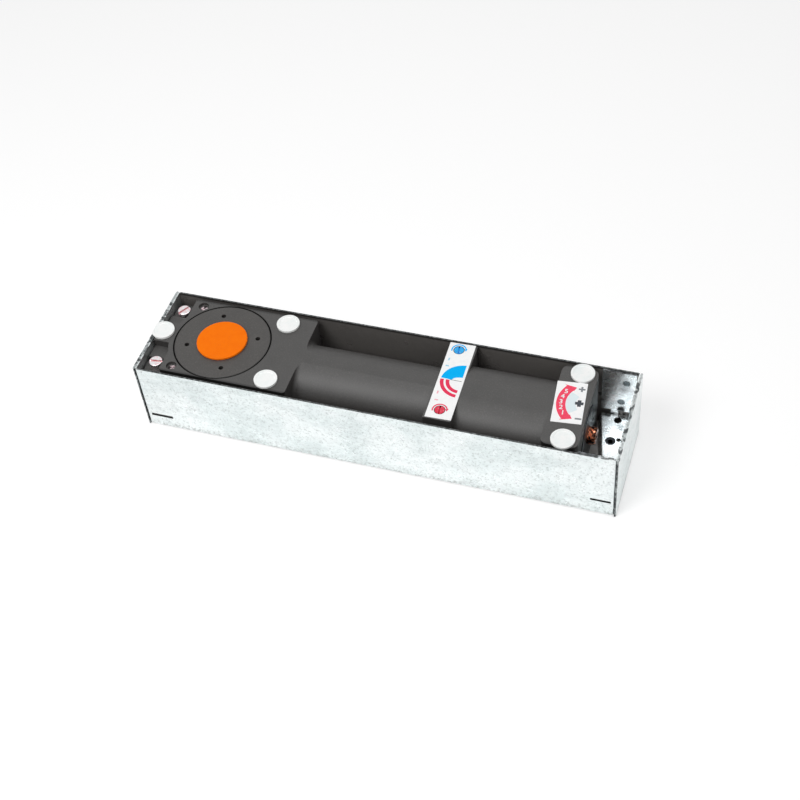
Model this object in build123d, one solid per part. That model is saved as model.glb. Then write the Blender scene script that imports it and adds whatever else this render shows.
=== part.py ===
from build123d import *
import math
import os

# Concealed door closer (floor spring) in its sheet steel box, in millimetres.
# The origin is the middle of the underside, +X runs from the spindle to the adjuster, +Z is up.

# Box
box_length = 341.0
box_width = 78.0
box_height = 58.0
box_sheet = 1.25
box_floor_bend = 2.0
end_sheet = 1.5
end_corner_round = 1.2
end_gap_half_width = 4.75

# Room around the closer body inside the box
side_gap = 2.75
rib_side_gap = 0.75
floor_gap = 4.35
rim_drop = 0.4
left_gap = 0.65

# Closer body, with places measured from the nearer end of the box or from its middle line
spindle_from_left = 52.0
head_from_left = 18.0
head_length = 93.3
boss_wall = 3.4
body_corner = 2.0
barrel_wall = 7.0
barrel_fillet = 3.0
rib_from_left = 208.15
rib_width = 19.0
rib_depth = 34.0
rib_nose = 0.4
rib_front_gap = 5.6
spring_barrel_half_width = 31.0
spring_barrel_flat = 8.0
pad_from_right = 53.4
pad_length = 24.9
pad_corner = 5.0
lug_half_width = 9.5
lug_depth = 14.0
web_drop = 5.5
web_half_width = 20.5
web_depth = 9.0
ear_drop = 7.6
ear_half_width = 18.0
ear_round = 7.0

# Bore, chamber and recess inside the body
bore_radius = 19.5
bore_clearance = 0.05
chamber_radius = 30.0
chamber_floor_above_seat = 6.4
chamber_floor_wall = 4.0
bore_setback = 1.0
passage_half_height = 12.2
plug_bore_radius = 20.8
plug_bore_length = 10.5

# Bearing cover
cover_stand = 0.2
cover_flange_radius = 33.9
cover_groove = 0.9
cover_flange_height = 9.0
cover_edge_round = 0.5
cover_skirt_height = 5.0
cover_skirt_clearance = 0.3
pin_hole_radius = 1.7
pin_hole_circle = 25.0
pin_hole_depth = 5.0
pin_hole_turn = 19.7
pin_hole_count = 4
cover_seal_height = 2.4
cover_seal_width = 1.6
cover_seal_clearance = 0.05
neck_clearance = 0.7
lip_seal_width = 4.0
lip_seal_height = 4.0
lip_seal_drop = 1.0
lip_seal_clearance = 0.08

# Ball bearings
fit_clearance = 0.05
race_width = 2.8
upper_ball_radius = 2.9
upper_bearing_height = 8.0
upper_ball_count = 18
ball_clearance = 0.08
lower_race_width = 1.6
lower_ball_radius = 1.9
lower_bearing_height = 8.0
lower_ball_count = 15

# Spindle and cam
neck_radius = 12.45
collar_extra = 1.9
cam_seat_radius = 11.0
journal_radius = 6.95
journal_step = 1.5
journal_step_height = 2.0
spindle_end_gap = 0.4
spindle_top_drop = 0.3
socket_width = 14.0
socket_depth = 16.0
socket_taper = 5.0
cam_thickness = 12.0
cam_start_distance = 24.0
cam_lift_per_radian = 4.85
cam_limit_radius = 27.5
cam_roller_gap = 0.3
cam_bore_clearance = 0.04
key_width = 5.0
key_depth_in_spindle = 2.5
key_depth_in_cam = 2.3
key_top_gap = 0.2
circlip_thickness = 1.5
circlip_width = 3.0
circlip_groove_depth = 0.8
circlip_gap = 0.05

# Protective cap over the spindle
cap_radius = 17.9
cap_thickness = 1.6
cap_edge_round = 0.6
cap_gap = 0.3
cap_stem_length = 8.0
cap_stem_clearance = 0.3

# Roller and piston
roller_radius = 8.0
roller_pin_radius = 3.5
roller_bush_wall = 1.3
running_clearance = 0.05
press_clearance = 0.02
fork_reach = 9.0
fork_half_height = 11.0
fork_half_width = 14.5
fork_slot_clearance = 0.6
piston_length = 62.0
piston_relief_length = 12.0
piston_relief = 0.6
piston_seal_width = 3.0
piston_seal_depth = 2.4
piston_seal_from_end = 8.0
spigot_radius = 12.3
spigot_length = 8.0
oil_way_radius = 2.0
valve_pocket_radius = 5.0
valve_pocket_depth = 12.0
valve_body_length = 9.0
valve_body_bore_radius = 2.8
valve_body_bore_length = 2.2
valve_body_hole_radius = 1.4
check_ball_radius = 2.4
check_ball_gap = 0.12

# Main spring, its plate and the force adjuster
spring_outer_clearance = 0.9
spring_inner_clearance = 0.6
spring_plate_thickness = 8.0
spring_plate_clearance = 0.3
spring_plate_to_plug = 8.0
adjuster_radius = 6.0
adjuster_inner_reach = 22.0
adjuster_outer_reach = 6.0
adjuster_collar_radius = 9.0
adjuster_collar_length = 3.0
adjuster_socket_width = 5.0
adjuster_socket_depth = 4.0
adjuster_chamfer = 0.8
thrust_washer_thickness = 1.5
thrust_gap = 0.1
plate_key_width = 3.0
plate_key_depth = 4.0
plate_key_height = 1.5
keyway_clearance = 0.15
keyway_length = 27.0
end_plug_stand = 0.5
end_plug_seal_width = 2.4
end_plug_seal_depth = 1.6
adjuster_seal_width = 2.2
adjuster_seal_depth = 1.8
plug_hole_radius = 1.6
plug_hole_offset = 14.0
plug_hole_depth = 5.0

# Speed valves in the rib and the ducts to them
closing_valve_from_rib = 7.25
closing_valve_from_side = 6.1
latch_valve_from_rib = 9.65
latch_valve_from_side = 12.9
valve_head_radius = 3.4
valve_head_height = 3.2
valve_head_pocket = 6.4
valve_shank_radius = 1.6
valve_way_radius = 2.5
valve_way_length = 9.0
valve_clearance = 0.1
valve_seal_width = 0.9
valve_seal_depth = 0.7
valve_seal_height = 0.6
valve_needle_length = 3.0
valve_needle_tip_radius = 0.5
valve_slot_width = 1.1
valve_slot_depth = 1.2
valve_slot_turns = (100, 95)
duct_radius = 1.2
gallery_drop = 4.6
gallery_offset = 8.0
gallery_start = 92.0
duct_plug_length = 5.0
valve_port_depth = 18.0

# Labels
label_thickness = 0.25
speed_label_width = 18.0
speed_label_end_gap = 2.7
speed_label_from_rib = 9.5
speed_label_offset = 2.8
speed_label_turn = 1.5
label_hole_gap = 0.5
force_label_width = 20.3
force_label_length = 35.8
force_label_from_right = 42.0
force_label_offset = 2.7
force_label_turn = 5.5

# Tapped holes for the floor plate, and the discs that close them
cover_hole_radius = 2.5
cover_hole_depth = 11.0
disc_radius = 8.1
disc_thickness = 1.5
disc_rim = 1.8
disc_dish = 0.25
disc_stem_length = 4.0
disc_stem_clearance = 0.08
disc_over_rim = 0.15
end_disc_from_left = 6.7
rear_disc_from_left = 91.7
rear_disc_from_side = 8.4
front_disc_from_left = 94.8
front_disc_from_side = 8.5
pad_disc_from_right = 38.9
pad_disc_from_side = 5.7

# Screws at the spindle end
clamp_screw_from_left = 11.3
clamp_screw_from_side = 9.4
clamp_head_radius = 4.8
clamp_head_height = 4.8
clamp_shank_radius = 2.95
clamp_hole_gap = 0.35
clamp_slot_width = 1.5
clamp_slot_depth = 1.6
clamp_slot_turns = (8, 58)
clamp_end_gap = 1.5
nut_height = 5.0
nut_width = 10.0
bleed_screw_from_left = 25.5
bleed_screw_from_side = 5.5
bleed_screw_radius = 2.5
bleed_screw_length = 9.0
bleed_screw_drop = 2.0
bleed_recess_radius = 3.7
bleed_slot_width = 0.8
bleed_slot_depth = 0.9
bleed_slot_turns = (35, 60)
bleed_duct_radius = 1.0
bleed_duct_depth = 18.0

# Rail under the spindle end
rail_from_left = 5.2
rail_width = 16.0
rail_sheet = 2.0
rail_top = 12.5
slot_clearance = 0.25
tab_recess = 0.9
rail_notch_gap = 0.6

# Bracket at the adjuster end
bracket_sheet = 1.5
bracket_top = 15.0
bracket_edge_from_right = 16.7
bracket_skew = 12.7
bracket_end_gap = 1.0
bracket_ramp = 2.6
bracket_foot_from_right = 42.0
bracket_side_gap = 2.2
flange_from_right = 27.0
flange_top_drop = 0.4
flange_foot_gap = 4.3
flange_web_from_right = 20.0
flange_web_length = 5.0
bracket_tab_from_right = 17.6
bracket_tab_length = 13.4
upper_weld_from_right = 10.4
upper_weld_drop = 10.0
lower_weld_from_right = 13.4
lower_weld_drop = 29.5
weld_radius = 2.5
weld_depth = 0.5
wide_hole_from_right = 14.1
wide_hole_from_wall = 6.65
wide_hole_radius = 2.75
small_hole_from_right = 10.0
small_hole_offset = 14.0
small_hole_radius = 1.6
levelling_from_right = 15.2
levelling_offset = 11.9
levelling_radius = 3.5
levelling_socket_width = 3.6
levelling_socket_depth = 4.0
levelling_drop = 0.6
foot_screw_from_right = 35.0
foot_screw_offset = 24.0
foot_screw_radius = 2.45
foot_screw_length = 9.0
foot_head_radius = 4.2
foot_head_height = 2.0
foot_screw_end_gap = 1.0

# Every cut runs past the faces that it opens by this much
overrun = 1.0

# Places worked out from the sizes above
left_end = -box_length / 2
right_end = box_length / 2
floor_z = box_sheet
inner_half_width = box_width / 2 - box_sheet
body_half_width = inner_half_width - side_gap
body_top = box_height - rim_drop
body_bottom = floor_z + floor_gap
axis_z = (body_top + body_bottom) / 2
spindle_x = left_end + spindle_from_left
head_left = left_end + head_from_left
head_right = head_left + head_length
pad_left = right_end - pad_from_right
pad_right = pad_left + pad_length
rib_left = left_end + rib_from_left
rib_right = rib_left + rib_width
rib_half_length = inner_half_width - rib_side_gap
body_left = left_end + end_sheet + box_sheet + left_gap
barrel_radius = bore_radius + barrel_wall
recess_radius = cover_flange_radius + cover_groove
boss_radius = recess_radius + boss_wall
bore_left = spindle_x + recess_radius + bore_setback
plug_seat = pad_right - plug_bore_length

# Offsets from the middle line, and the label that follows the rib
speed_label_length = 2 * (rib_half_length - speed_label_end_gap)
rear_disc_offset = body_half_width - rear_disc_from_side
front_disc_offset = body_half_width - front_disc_from_side
pad_disc_offset = body_half_width - pad_disc_from_side
clamp_screw_offset = body_half_width - clamp_screw_from_side
bleed_screw_offset = body_half_width - bleed_screw_from_side
closing_valve_offset = rib_half_length - closing_valve_from_side
latch_valve_offset = rib_half_length - latch_valve_from_side
wide_hole_offset = inner_half_width - wide_hole_from_wall

# Heights of the spindle stack
cover_top = body_top + cover_stand
cover_seat = cover_top - cover_flange_height
cover_bottom = cover_seat - cover_skirt_height
lower_seat = body_bottom + chamber_floor_wall
chamber_floor = lower_seat + chamber_floor_above_seat
cam_top = axis_z + cam_thickness / 2
cam_bottom = axis_z - cam_thickness / 2
spindle_top = cover_top - spindle_top_drop
upper_inner_radius = neck_radius + fit_clearance
upper_outer_radius = upper_inner_radius + 2 * race_width + 2 * upper_ball_radius - race_width / 2
lower_inner_radius = journal_radius + fit_clearance
lower_outer_radius = lower_inner_radius + 2 * lower_race_width + 2 * lower_ball_radius - lower_race_width
cap_bottom = cover_top + cap_gap

# Lengths along the bore
roller_x = spindle_x + cam_start_distance
piston_left = bore_left + running_clearance
piston_right = piston_left + piston_length
spring_plate_right = plug_seat - spring_plate_to_plug
spring_plate_left = spring_plate_right - spring_plate_thickness
washer_left = plug_seat - thrust_washer_thickness
collar_right = washer_left - thrust_gap


def block(x_low, x_high, y_low, y_high, z_low, z_high):
    """A box between three pairs of limits."""
    middle = Pos((x_low + x_high) / 2, (y_low + y_high) / 2, (z_low + z_high) / 2)
    return middle * Box(x_high - x_low, y_high - y_low, z_high - z_low)


def rod_x(x_low, x_high, y, z, radius):
    """A cylinder along X."""
    return Pos((x_low + x_high) / 2, y, z) * Rot(0, 90, 0) * Cylinder(radius, x_high - x_low)


def rod_y(y_low, y_high, x, z, radius):
    """A cylinder along Y."""
    return Pos(x, (y_low + y_high) / 2, z) * Rot(90, 0, 0) * Cylinder(radius, y_high - y_low)


def rod_z(z_low, z_high, x, y, radius):
    """A cylinder along Z."""
    return Pos(x, y, (z_low + z_high) / 2) * Cylinder(radius, z_high - z_low)


def tube_x(x_low, x_high, y, z, outer, inner):
    """A ring along X."""
    return rod_x(x_low, x_high, y, z, outer) - rod_x(x_low - overrun, x_high + overrun, y, z, inner)


def tube_z(z_low, z_high, x, y, outer, inner):
    """A ring along Z."""
    return rod_z(z_low, z_high, x, y, outer) - rod_z(z_low - overrun, z_high + overrun, x, y, inner)


def vertical_edges(shape):
    """The straight edges of a shape that stand along Z."""
    return shape.edges().filter_by(Axis.Z)


def mirrored(places):
    """Each place (x, offset) on both sides of the middle line."""
    return [(x, side * offset) for x, offset in places for side in (-1, 1)]


def slotted(screw, x, y, top, radius, width, depth, turn):
    """A screw with a straight slot across its top."""
    cutter = Pos(x, y, top) * Rot(0, 0, turn) * Box(2 * radius + overrun, width, 2 * depth)
    return screw - cutter


def hexagon(width, depth, x, y, z_top):
    """A hexagonal prism, given by its width across flats, down from a height."""
    sketch = RegularPolygon(width / math.sqrt(3), 6)
    return Pos(x, y, z_top - depth) * extrude(sketch, depth)


# Box

def wall_slots():
    """The slots in both side walls that take the tabs of the rail and the bracket."""
    slots = []
    spans = [
        (left_end + rail_from_left, rail_width, rail_top - rail_sheet, rail_top),
        (right_end - bracket_tab_from_right, bracket_tab_length, bracket_top - bracket_sheet, bracket_top),
    ]
    for start, length, low, high in spans:
        slots.append(
            block(
                start - slot_clearance,
                start + length + slot_clearance,
                -box_width / 2 - overrun,
                box_width / 2 + overrun,
                low - slot_clearance,
                high + slot_clearance,
            )
        )
    return slots


def box_channel():
    """A folded channel: the floor, both side walls, and a tab turned in at each end of each wall."""
    low_x = left_end + end_sheet
    high_x = right_end - end_sheet
    half = box_width / 2
    outer = block(low_x, high_x, -half, half, 0, box_height)
    long_bends = [e for e in outer.edges().filter_by(Axis.X) if e.center().Z < floor_z]
    outer = fillet(long_bends, box_floor_bend)
    outer = fillet(vertical_edges(outer), box_floor_bend)
    inner = block(
        low_x + box_sheet,
        high_x - box_sheet,
        -inner_half_width,
        inner_half_width,
        floor_z,
        box_height + overrun,
    )
    inner_bends = [e for e in inner.edges().filter_by(Axis.X) if e.center().Z < floor_z + overrun]
    inner = fillet(inner_bends, box_floor_bend - box_sheet)
    inner = fillet(vertical_edges(inner), box_floor_bend - box_sheet)
    channel = outer - inner
    channel -= block(
        left_end,
        right_end,
        -end_gap_half_width,
        end_gap_half_width,
        floor_z + box_floor_bend,
        box_height + overrun,
    )
    for slot in wall_slots():
        channel -= slot
    return channel


def end_plate(side):
    """A flat plate closes each end, behind the turned-in tabs, with rounded corners at the seam."""
    outer_x = side * box_length / 2
    inner_x = outer_x - side * end_sheet
    half = box_width / 2
    plate = block(min(outer_x, inner_x), max(outer_x, inner_x), -half, half, 0, box_height)
    outer_edges = [e for e in vertical_edges(plate) if abs(e.center().X - outer_x) < end_sheet / 2]
    return fillet(outer_edges, end_corner_round)


def left_rail():
    """A flat rail across the box, held in the wall slots, carries the spindle end of the body."""
    start = left_end + rail_from_left
    reach = box_width / 2 - tab_recess
    rail = block(start, start + rail_width, -reach, reach, rail_top - rail_sheet, rail_top)
    for x, y in mirrored([(left_end + clamp_screw_from_left, clamp_screw_offset)]):
        rail -= rod_z(0, box_height, x, y, clamp_shank_radius + fit_clearance)
    return rail


def right_bracket():
    """A pressed bracket: a skewed step from the foot under the body up to a plate, with side flanges."""
    edge_x = right_end - bracket_edge_from_right
    right_x = right_end - end_sheet - box_sheet - bracket_end_gap
    foot_left = right_end - bracket_foot_from_right
    plate_low = bracket_top - bracket_sheet
    foot_low = body_bottom - bracket_sheet
    reach = bracket_edge_from_right
    outline = Polyline(
        (-2 * reach, foot_low),
        (-2 * reach, body_bottom),
        (-bracket_ramp - bracket_sheet, body_bottom),
        (-bracket_sheet, bracket_top),
        (2 * reach, bracket_top),
        (2 * reach, plate_low),
        (0, plate_low),
        (-bracket_ramp, foot_low),
        close=True,
    )
    profile = make_face(Plane.XZ * outline)
    step = extrude(profile, amount=box_width, both=True)
    step = Pos(edge_x, 0, 0) * Rot(0, 0, bracket_skew) * step
    plate_half = inner_half_width - bracket_side_gap
    step = step & block(foot_left, right_x, -plate_half, plate_half, 0, box_height)
    parts = [step]
    flange_left = right_end - flange_from_right
    web_left = right_end - flange_web_from_right
    tab_left = right_end - bracket_tab_from_right
    flange_low = bracket_top + flange_foot_gap
    flange_high = box_height - flange_top_drop
    welds = [(upper_weld_from_right, upper_weld_drop), (lower_weld_from_right, lower_weld_drop)]
    for side in (-1, 1):
        wall = side * inner_half_width
        skin = side * (inner_half_width - bracket_sheet)
        flange = block(flange_left, right_x, min(wall, skin), max(wall, skin), flange_low, flange_high)
        for from_right, drop in welds:
            mark = rod_y(
                min(skin, skin - side * overrun, skin + side * weld_depth),
                max(skin, skin - side * overrun, skin + side * weld_depth),
                right_end - from_right,
                box_height - drop,
                weld_radius,
            )
            flange -= mark
        parts.append(flange)
        web_right = web_left + flange_web_length
        parts.append(block(web_left, web_right, min(wall, skin), max(wall, skin), plate_low, flange_low))
        inner = side * plate_half
        outer = side * (box_width / 2 - tab_recess)
        tab_right = tab_left + bracket_tab_length
        parts.append(block(tab_left, tab_right, min(inner, outer), max(inner, outer), plate_low, bracket_top))
    bracket = parts[0]
    for piece in parts[1:]:
        bracket += piece
    holes = [
        (wide_hole_from_right, wide_hole_offset, wide_hole_radius),
        (small_hole_from_right, small_hole_offset, small_hole_radius),
        (levelling_from_right, levelling_offset, levelling_radius + fit_clearance),
        (foot_screw_from_right, foot_screw_offset, foot_screw_radius + fit_clearance),
    ]
    for from_right, offset, radius in holes:
        for x, y in mirrored([(right_end - from_right, offset)]):
            bracket -= rod_z(0, box_height, x, y, radius)
    return bracket


# Closer body

def floor_plate_holes():
    """The five tapped holes for the floor plate."""
    return [
        (left_end + end_disc_from_left, 0),
        (left_end + rear_disc_from_left, rear_disc_offset),
        (left_end + front_disc_from_left, -front_disc_offset),
        (right_end - pad_disc_from_right, pad_disc_offset),
        (right_end - pad_disc_from_right, -pad_disc_offset),
    ]


def valve_places():
    """The two speed valves, closing first and latching second."""
    return [
        (rib_left + closing_valve_from_rib, closing_valve_offset),
        (rib_left + latch_valve_from_rib, -latch_valve_offset),
    ]


def body_outside():
    """The outer shape of the casting, from the spindle head to the adjuster pad."""
    half = body_half_width
    head = block(head_left, head_right, -half, half, body_bottom, body_top)
    head = fillet(vertical_edges(head), body_corner)
    boss = rod_z(body_bottom, body_top, spindle_x, 0, boss_radius)
    boss = boss & block(left_end, head_right, -half, half, body_bottom, body_top)
    slab = block(left_end, right_end, -half, half, body_bottom, body_top)
    barrel = rod_x(head_right - body_corner, rib_left + body_corner, 0, axis_z, barrel_radius) & slab
    casting = head + boss + barrel
    seams = [
        e
        for e in casting.edges()
        if abs(e.center().X - head_right) < fit_clearance
        and e.geom_type == GeomType.CIRCLE
        and abs(e.radius - barrel_radius) < fit_clearance
    ]
    casting = fillet(seams, barrel_fillet)
    rib_front = rib_front_gap - inner_half_width
    rib = block(rib_left, rib_right, rib_front, rib_half_length, body_top - rib_depth, body_top)
    nose = [e for e in rib.edges().filter_by(Axis.X) if e.center().Z > axis_z and e.center().Y < 0]
    rib = chamfer(nose, rib_nose)
    casting += rib
    height = body_top - body_bottom
    section = RectangleRounded(2 * spring_barrel_half_width, height, (height - spring_barrel_flat) / 2)
    spring_barrel = extrude(Plane.YZ * section, pad_left - rib_right + 2 * body_corner)
    casting += Pos(rib_right - body_corner, 0, axis_z) * spring_barrel
    pad = block(pad_left, pad_right, -half, half, body_bottom, body_top)
    casting += fillet(vertical_edges(pad), pad_corner)
    return casting


def body_left_end():
    """The lug, webs and ears that reach from the spindle boss to the left end of the box."""
    lug = block(body_left, spindle_x, -lug_half_width, lug_half_width, body_top - lug_depth, body_top)
    shapes = [lug]
    for side in (-1, 1):
        near = side * (lug_half_width - overrun)
        web = side * web_half_width
        ear = side * ear_half_width
        outer = side * body_half_width
        web_top = body_top - web_drop
        ear_top = body_top - ear_drop
        right = head_left + boss_wall
        shapes.append(block(body_left, right, min(near, web), max(near, web), web_top - web_depth, web_top))
        ear_block = block(body_left, right, min(ear, outer), max(ear, outer), rail_top, ear_top)
        free_corners = [e for e in vertical_edges(ear_block) if e.center().X < head_left]
        shapes.append(fillet(free_corners, ear_round))
    return shapes


def body_cavities():
    """Chamber, bore, seats and keyway, as the shapes to take out of the casting."""
    passage = rod_x(spindle_x, bore_left, 0, axis_z, bore_radius) & block(
        spindle_x,
        bore_left,
        -bore_radius,
        bore_radius,
        axis_z - passage_half_height,
        axis_z + passage_half_height,
    )
    keyway_half = plate_key_width / 2 + keyway_clearance
    keyway_low = axis_z - bore_radius - plate_key_height - keyway_clearance
    return [
        rod_z(cover_seat, body_top + overrun, spindle_x, 0, recess_radius),
        rod_z(chamber_floor, cover_seat + overrun, spindle_x, 0, chamber_radius),
        rod_z(lower_seat, chamber_floor + overrun, spindle_x, 0, lower_outer_radius + fit_clearance),
        passage,
        rod_x(bore_left, pad_right, 0, axis_z, bore_radius),
        rod_x(plug_seat, pad_right + overrun, 0, axis_z, plug_bore_radius),
        block(plug_seat - keyway_length, plug_seat, -keyway_half, keyway_half, keyway_low, axis_z),
    ]


def body_ducts():
    """Drilled ways for the oil: one gallery, a cross duct, the valve bores and the bleed ducts."""
    gallery_z = body_top - gallery_drop
    gallery_x = left_end + gallery_start
    port_z = body_top - valve_port_depth
    places = valve_places()
    cross_x = (places[0][0] + places[1][0]) / 2
    ducts = [
        rod_x(gallery_x, pad_right + overrun, gallery_offset, gallery_z, duct_radius),
        rod_z(axis_z, gallery_z, gallery_x + duct_radius, gallery_offset, duct_radius),
        rod_y(-latch_valve_offset, rib_half_length + overrun, cross_x, gallery_z, duct_radius),
    ]
    for x, y in places:
        pocket_low = body_top - valve_head_pocket
        seat_z = pocket_low - valve_way_length
        ducts.append(rod_z(pocket_low, body_top + overrun, x, y, valve_head_radius + valve_clearance))
        ducts.append(rod_z(seat_z, pocket_low + overrun, x, y, valve_way_radius))
        ducts.append(rod_z(port_z, seat_z + overrun, x, y, duct_radius))
        ducts.append(rod_y(min(0, y), max(0, y), x, port_z, duct_radius))
    for x, y in mirrored([(left_end + bleed_screw_from_left, bleed_screw_offset)]):
        recess_low = body_top - bleed_screw_drop
        thread_low = recess_low - bleed_screw_length
        duct_z = body_top - bleed_duct_depth
        ducts.append(rod_z(recess_low, body_top + overrun, x, y, bleed_recess_radius))
        ducts.append(rod_z(thread_low, body_top, x, y, bleed_screw_radius + fit_clearance))
        ducts.append(rod_z(duct_z, body_top, x, y, bleed_duct_radius))
        reach = math.hypot(spindle_x - x, y)
        turn = math.degrees(math.atan2(-y, spindle_x - x))
        drilling = rod_x(0, reach, 0, 0, bleed_duct_radius)
        ducts.append(Pos(x, y, duct_z + bleed_duct_radius) * Rot(0, 0, turn) * drilling)
    return ducts


def closer_body():
    """The cast iron body of the closer."""
    casting = body_outside()
    for shape in body_left_end():
        casting += shape
    notch_right = left_end + rail_from_left + rail_width + rail_notch_gap
    casting -= block(left_end, notch_right, -box_width, box_width, 0, rail_top)
    for cavity in body_cavities() + body_ducts():
        casting -= cavity
    for x, y in floor_plate_holes():
        casting -= rod_z(body_top - cover_hole_depth, body_top + overrun, x, y, cover_hole_radius)
    for x, y in mirrored([(left_end + clamp_screw_from_left, clamp_screw_offset)]):
        casting -= rod_z(0, box_height, x, y, clamp_shank_radius + clamp_hole_gap)
        casting -= rod_z(
            body_top - ear_drop, body_top + overrun, x, y, clamp_head_radius + clamp_hole_gap
        )
    for x, y in mirrored([(right_end - foot_screw_from_right, foot_screw_offset)]):
        casting -= rod_z(0, body_bottom + foot_screw_length, x, y, foot_screw_radius + press_clearance)
    return casting


# Bearing cover, seals and bearings

def bearing_cover():
    """The round cover that screws into the body and holds the upper bearing."""
    skirt_radius = chamber_radius - cover_skirt_clearance
    cover = rod_z(cover_seat, cover_top, spindle_x, 0, cover_flange_radius)
    cover = fillet(cover.edges().group_by(Axis.Z)[-1], cover_edge_round)
    cover += rod_z(cover_bottom, cover_seat, spindle_x, 0, skirt_radius)
    cover -= rod_z(0, cover_top + overrun, spindle_x, 0, neck_radius + neck_clearance)
    bearing_top = cover_bottom + upper_bearing_height
    cover -= rod_z(0, bearing_top, spindle_x, 0, upper_outer_radius + fit_clearance)
    seal_low = cover_top - lip_seal_drop - lip_seal_height
    cover -= rod_z(seal_low, cover_top + overrun, spindle_x, 0, neck_radius + lip_seal_width + fit_clearance)
    for index in range(pin_hole_count):
        angle = math.radians(pin_hole_turn + 360 * index / pin_hole_count)
        x = spindle_x + pin_hole_circle * math.cos(angle)
        y = pin_hole_circle * math.sin(angle)
        cover -= rod_z(cover_top - pin_hole_depth, cover_top + overrun, x, y, pin_hole_radius)
    groove_low = cover_seat - cover_skirt_height / 2 - cover_seal_height / 2
    groove = tube_z(
        groove_low,
        groove_low + cover_seal_height,
        spindle_x,
        0,
        chamber_radius,
        chamber_radius - cover_seal_width - cover_seal_clearance,
    )
    return cover - groove


def cover_seal():
    """The sealing ring round the skirt of the cover."""
    low = cover_seat - cover_skirt_height / 2 - cover_seal_height / 2
    return tube_z(
        low,
        low + cover_seal_height,
        spindle_x,
        0,
        chamber_radius - cover_seal_clearance,
        chamber_radius - cover_seal_width,
    )


def lip_seal():
    """The shaft seal round the neck of the spindle."""
    high = cover_top - lip_seal_drop
    outer = neck_radius + lip_seal_width
    inner = neck_radius + lip_seal_clearance
    return tube_z(high - lip_seal_height, high, spindle_x, 0, outer, inner)


def race(inner, outer, low, height, pitch, ball):
    """One ring of a ball bearing, with its groove for the balls."""
    ring = tube_z(low, low + height, spindle_x, 0, outer, inner)
    return ring - Pos(spindle_x, 0, low + height / 2) * Torus(pitch, ball + ball_clearance)


def balls(count, low, height, pitch, ball):
    """The balls of one bearing, as separate solids."""
    solids = []
    for index in range(count):
        angle = 2 * math.pi * index / count
        x = spindle_x + pitch * math.cos(angle)
        solids.append(Pos(x, pitch * math.sin(angle), low + height / 2) * Sphere(ball))
    return Compound(children=solids)


def upper_bearing():
    """The two rings and the balls of the upper bearing, in the cover."""
    inner = upper_inner_radius
    outer = upper_outer_radius
    pitch = (inner + outer) / 2
    half_gap = upper_ball_radius - race_width / 4
    inner_ring = race(inner, pitch - half_gap, cover_bottom, upper_bearing_height, pitch, upper_ball_radius)
    outer_ring = race(pitch + half_gap, outer, cover_bottom, upper_bearing_height, pitch, upper_ball_radius)
    ring_of_balls = balls(upper_ball_count, cover_bottom, upper_bearing_height, pitch, upper_ball_radius)
    return inner_ring, outer_ring, ring_of_balls


def lower_bearing():
    """The two rings and the balls of the lower bearing, in the floor of the chamber."""
    inner = lower_inner_radius
    outer = lower_outer_radius
    pitch = (inner + outer) / 2
    half_gap = lower_ball_radius - lower_race_width / 4
    inner_ring = race(inner, pitch - half_gap, lower_seat, lower_bearing_height, pitch, lower_ball_radius)
    outer_ring = race(pitch + half_gap, outer, lower_seat, lower_bearing_height, pitch, lower_ball_radius)
    ring_of_balls = balls(lower_ball_count, lower_seat, lower_bearing_height, pitch, lower_ball_radius)
    return inner_ring, outer_ring, ring_of_balls


# Spindle, cam and cap

def cam_key_block(clearance):
    """The key between spindle and cam, or with a clearance the keyway that takes it."""
    near = spindle_x - cam_seat_radius + key_depth_in_spindle
    far = spindle_x - cam_seat_radius - key_depth_in_cam - clearance
    return block(far, near, -key_width / 2, key_width / 2, cam_bottom, cam_top)


def circlip_span():
    """Height range of the ring that holds the cam on its seat."""
    high = cam_bottom - circlip_gap
    return high - circlip_thickness, high


def socket_taper_solid(width, length, top):
    """A square taper that narrows downwards from its top face."""
    sketch = Pos(spindle_x, 0, top) * Rectangle(width, width)
    return extrude(sketch, amount=-length, taper=socket_taper)


def spindle():
    """The turning shaft: neck, collar, cam seat and journal, with a tapered square socket on top."""
    lower_top = lower_seat + lower_bearing_height
    step_top = lower_top + journal_step_height
    collar_radius = neck_radius + collar_extra
    shaft = rod_z(cover_bottom, spindle_top, spindle_x, 0, neck_radius)
    shaft += rod_z(cam_top, cover_bottom, spindle_x, 0, collar_radius)
    shaft += rod_z(step_top, cam_top, spindle_x, 0, cam_seat_radius)
    shaft += rod_z(lower_top, step_top, spindle_x, 0, journal_radius + journal_step)
    shaft += rod_z(lower_seat + spindle_end_gap, lower_top, spindle_x, 0, journal_radius)
    low, high = circlip_span()
    groove_radius = cam_seat_radius - circlip_groove_depth
    shaft -= tube_z(low, high, spindle_x, 0, cam_seat_radius + overrun, groove_radius)
    shaft -= cam_key_block(0)
    return shaft - socket_taper_solid(socket_width, socket_depth, spindle_top)


def cam_outline():
    """The heart shape: it lifts the roller by the same amount for each degree, to either side."""
    offset = roller_radius + cam_roller_gap
    end_angle = (cam_limit_radius + offset - cam_start_distance) / cam_lift_per_radian
    steps = 8

    def flank(angle):
        distance = cam_start_distance + cam_lift_per_radian * angle
        along_x = cam_lift_per_radian * math.cos(angle) - distance * math.sin(angle)
        along_y = cam_lift_per_radian * math.sin(angle) + distance * math.cos(angle)
        size = math.hypot(along_x, along_y)
        x = distance * math.cos(angle) - offset * along_y / size
        y = distance * math.sin(angle) + offset * along_x / size
        return x, y

    upper = [flank(end_angle * index / steps) for index in range(steps + 1)]
    lower = [(x, -y) for x, y in upper]
    back_radius = math.hypot(*upper[-1])
    notch = ThreePointArc(lower[0], (cam_start_distance - offset, 0), upper[0])
    back = ThreePointArc(upper[-1], (-back_radius, 0), lower[-1])
    return make_face([notch, Spline(*upper), back, Spline(*reversed(lower))])


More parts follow.
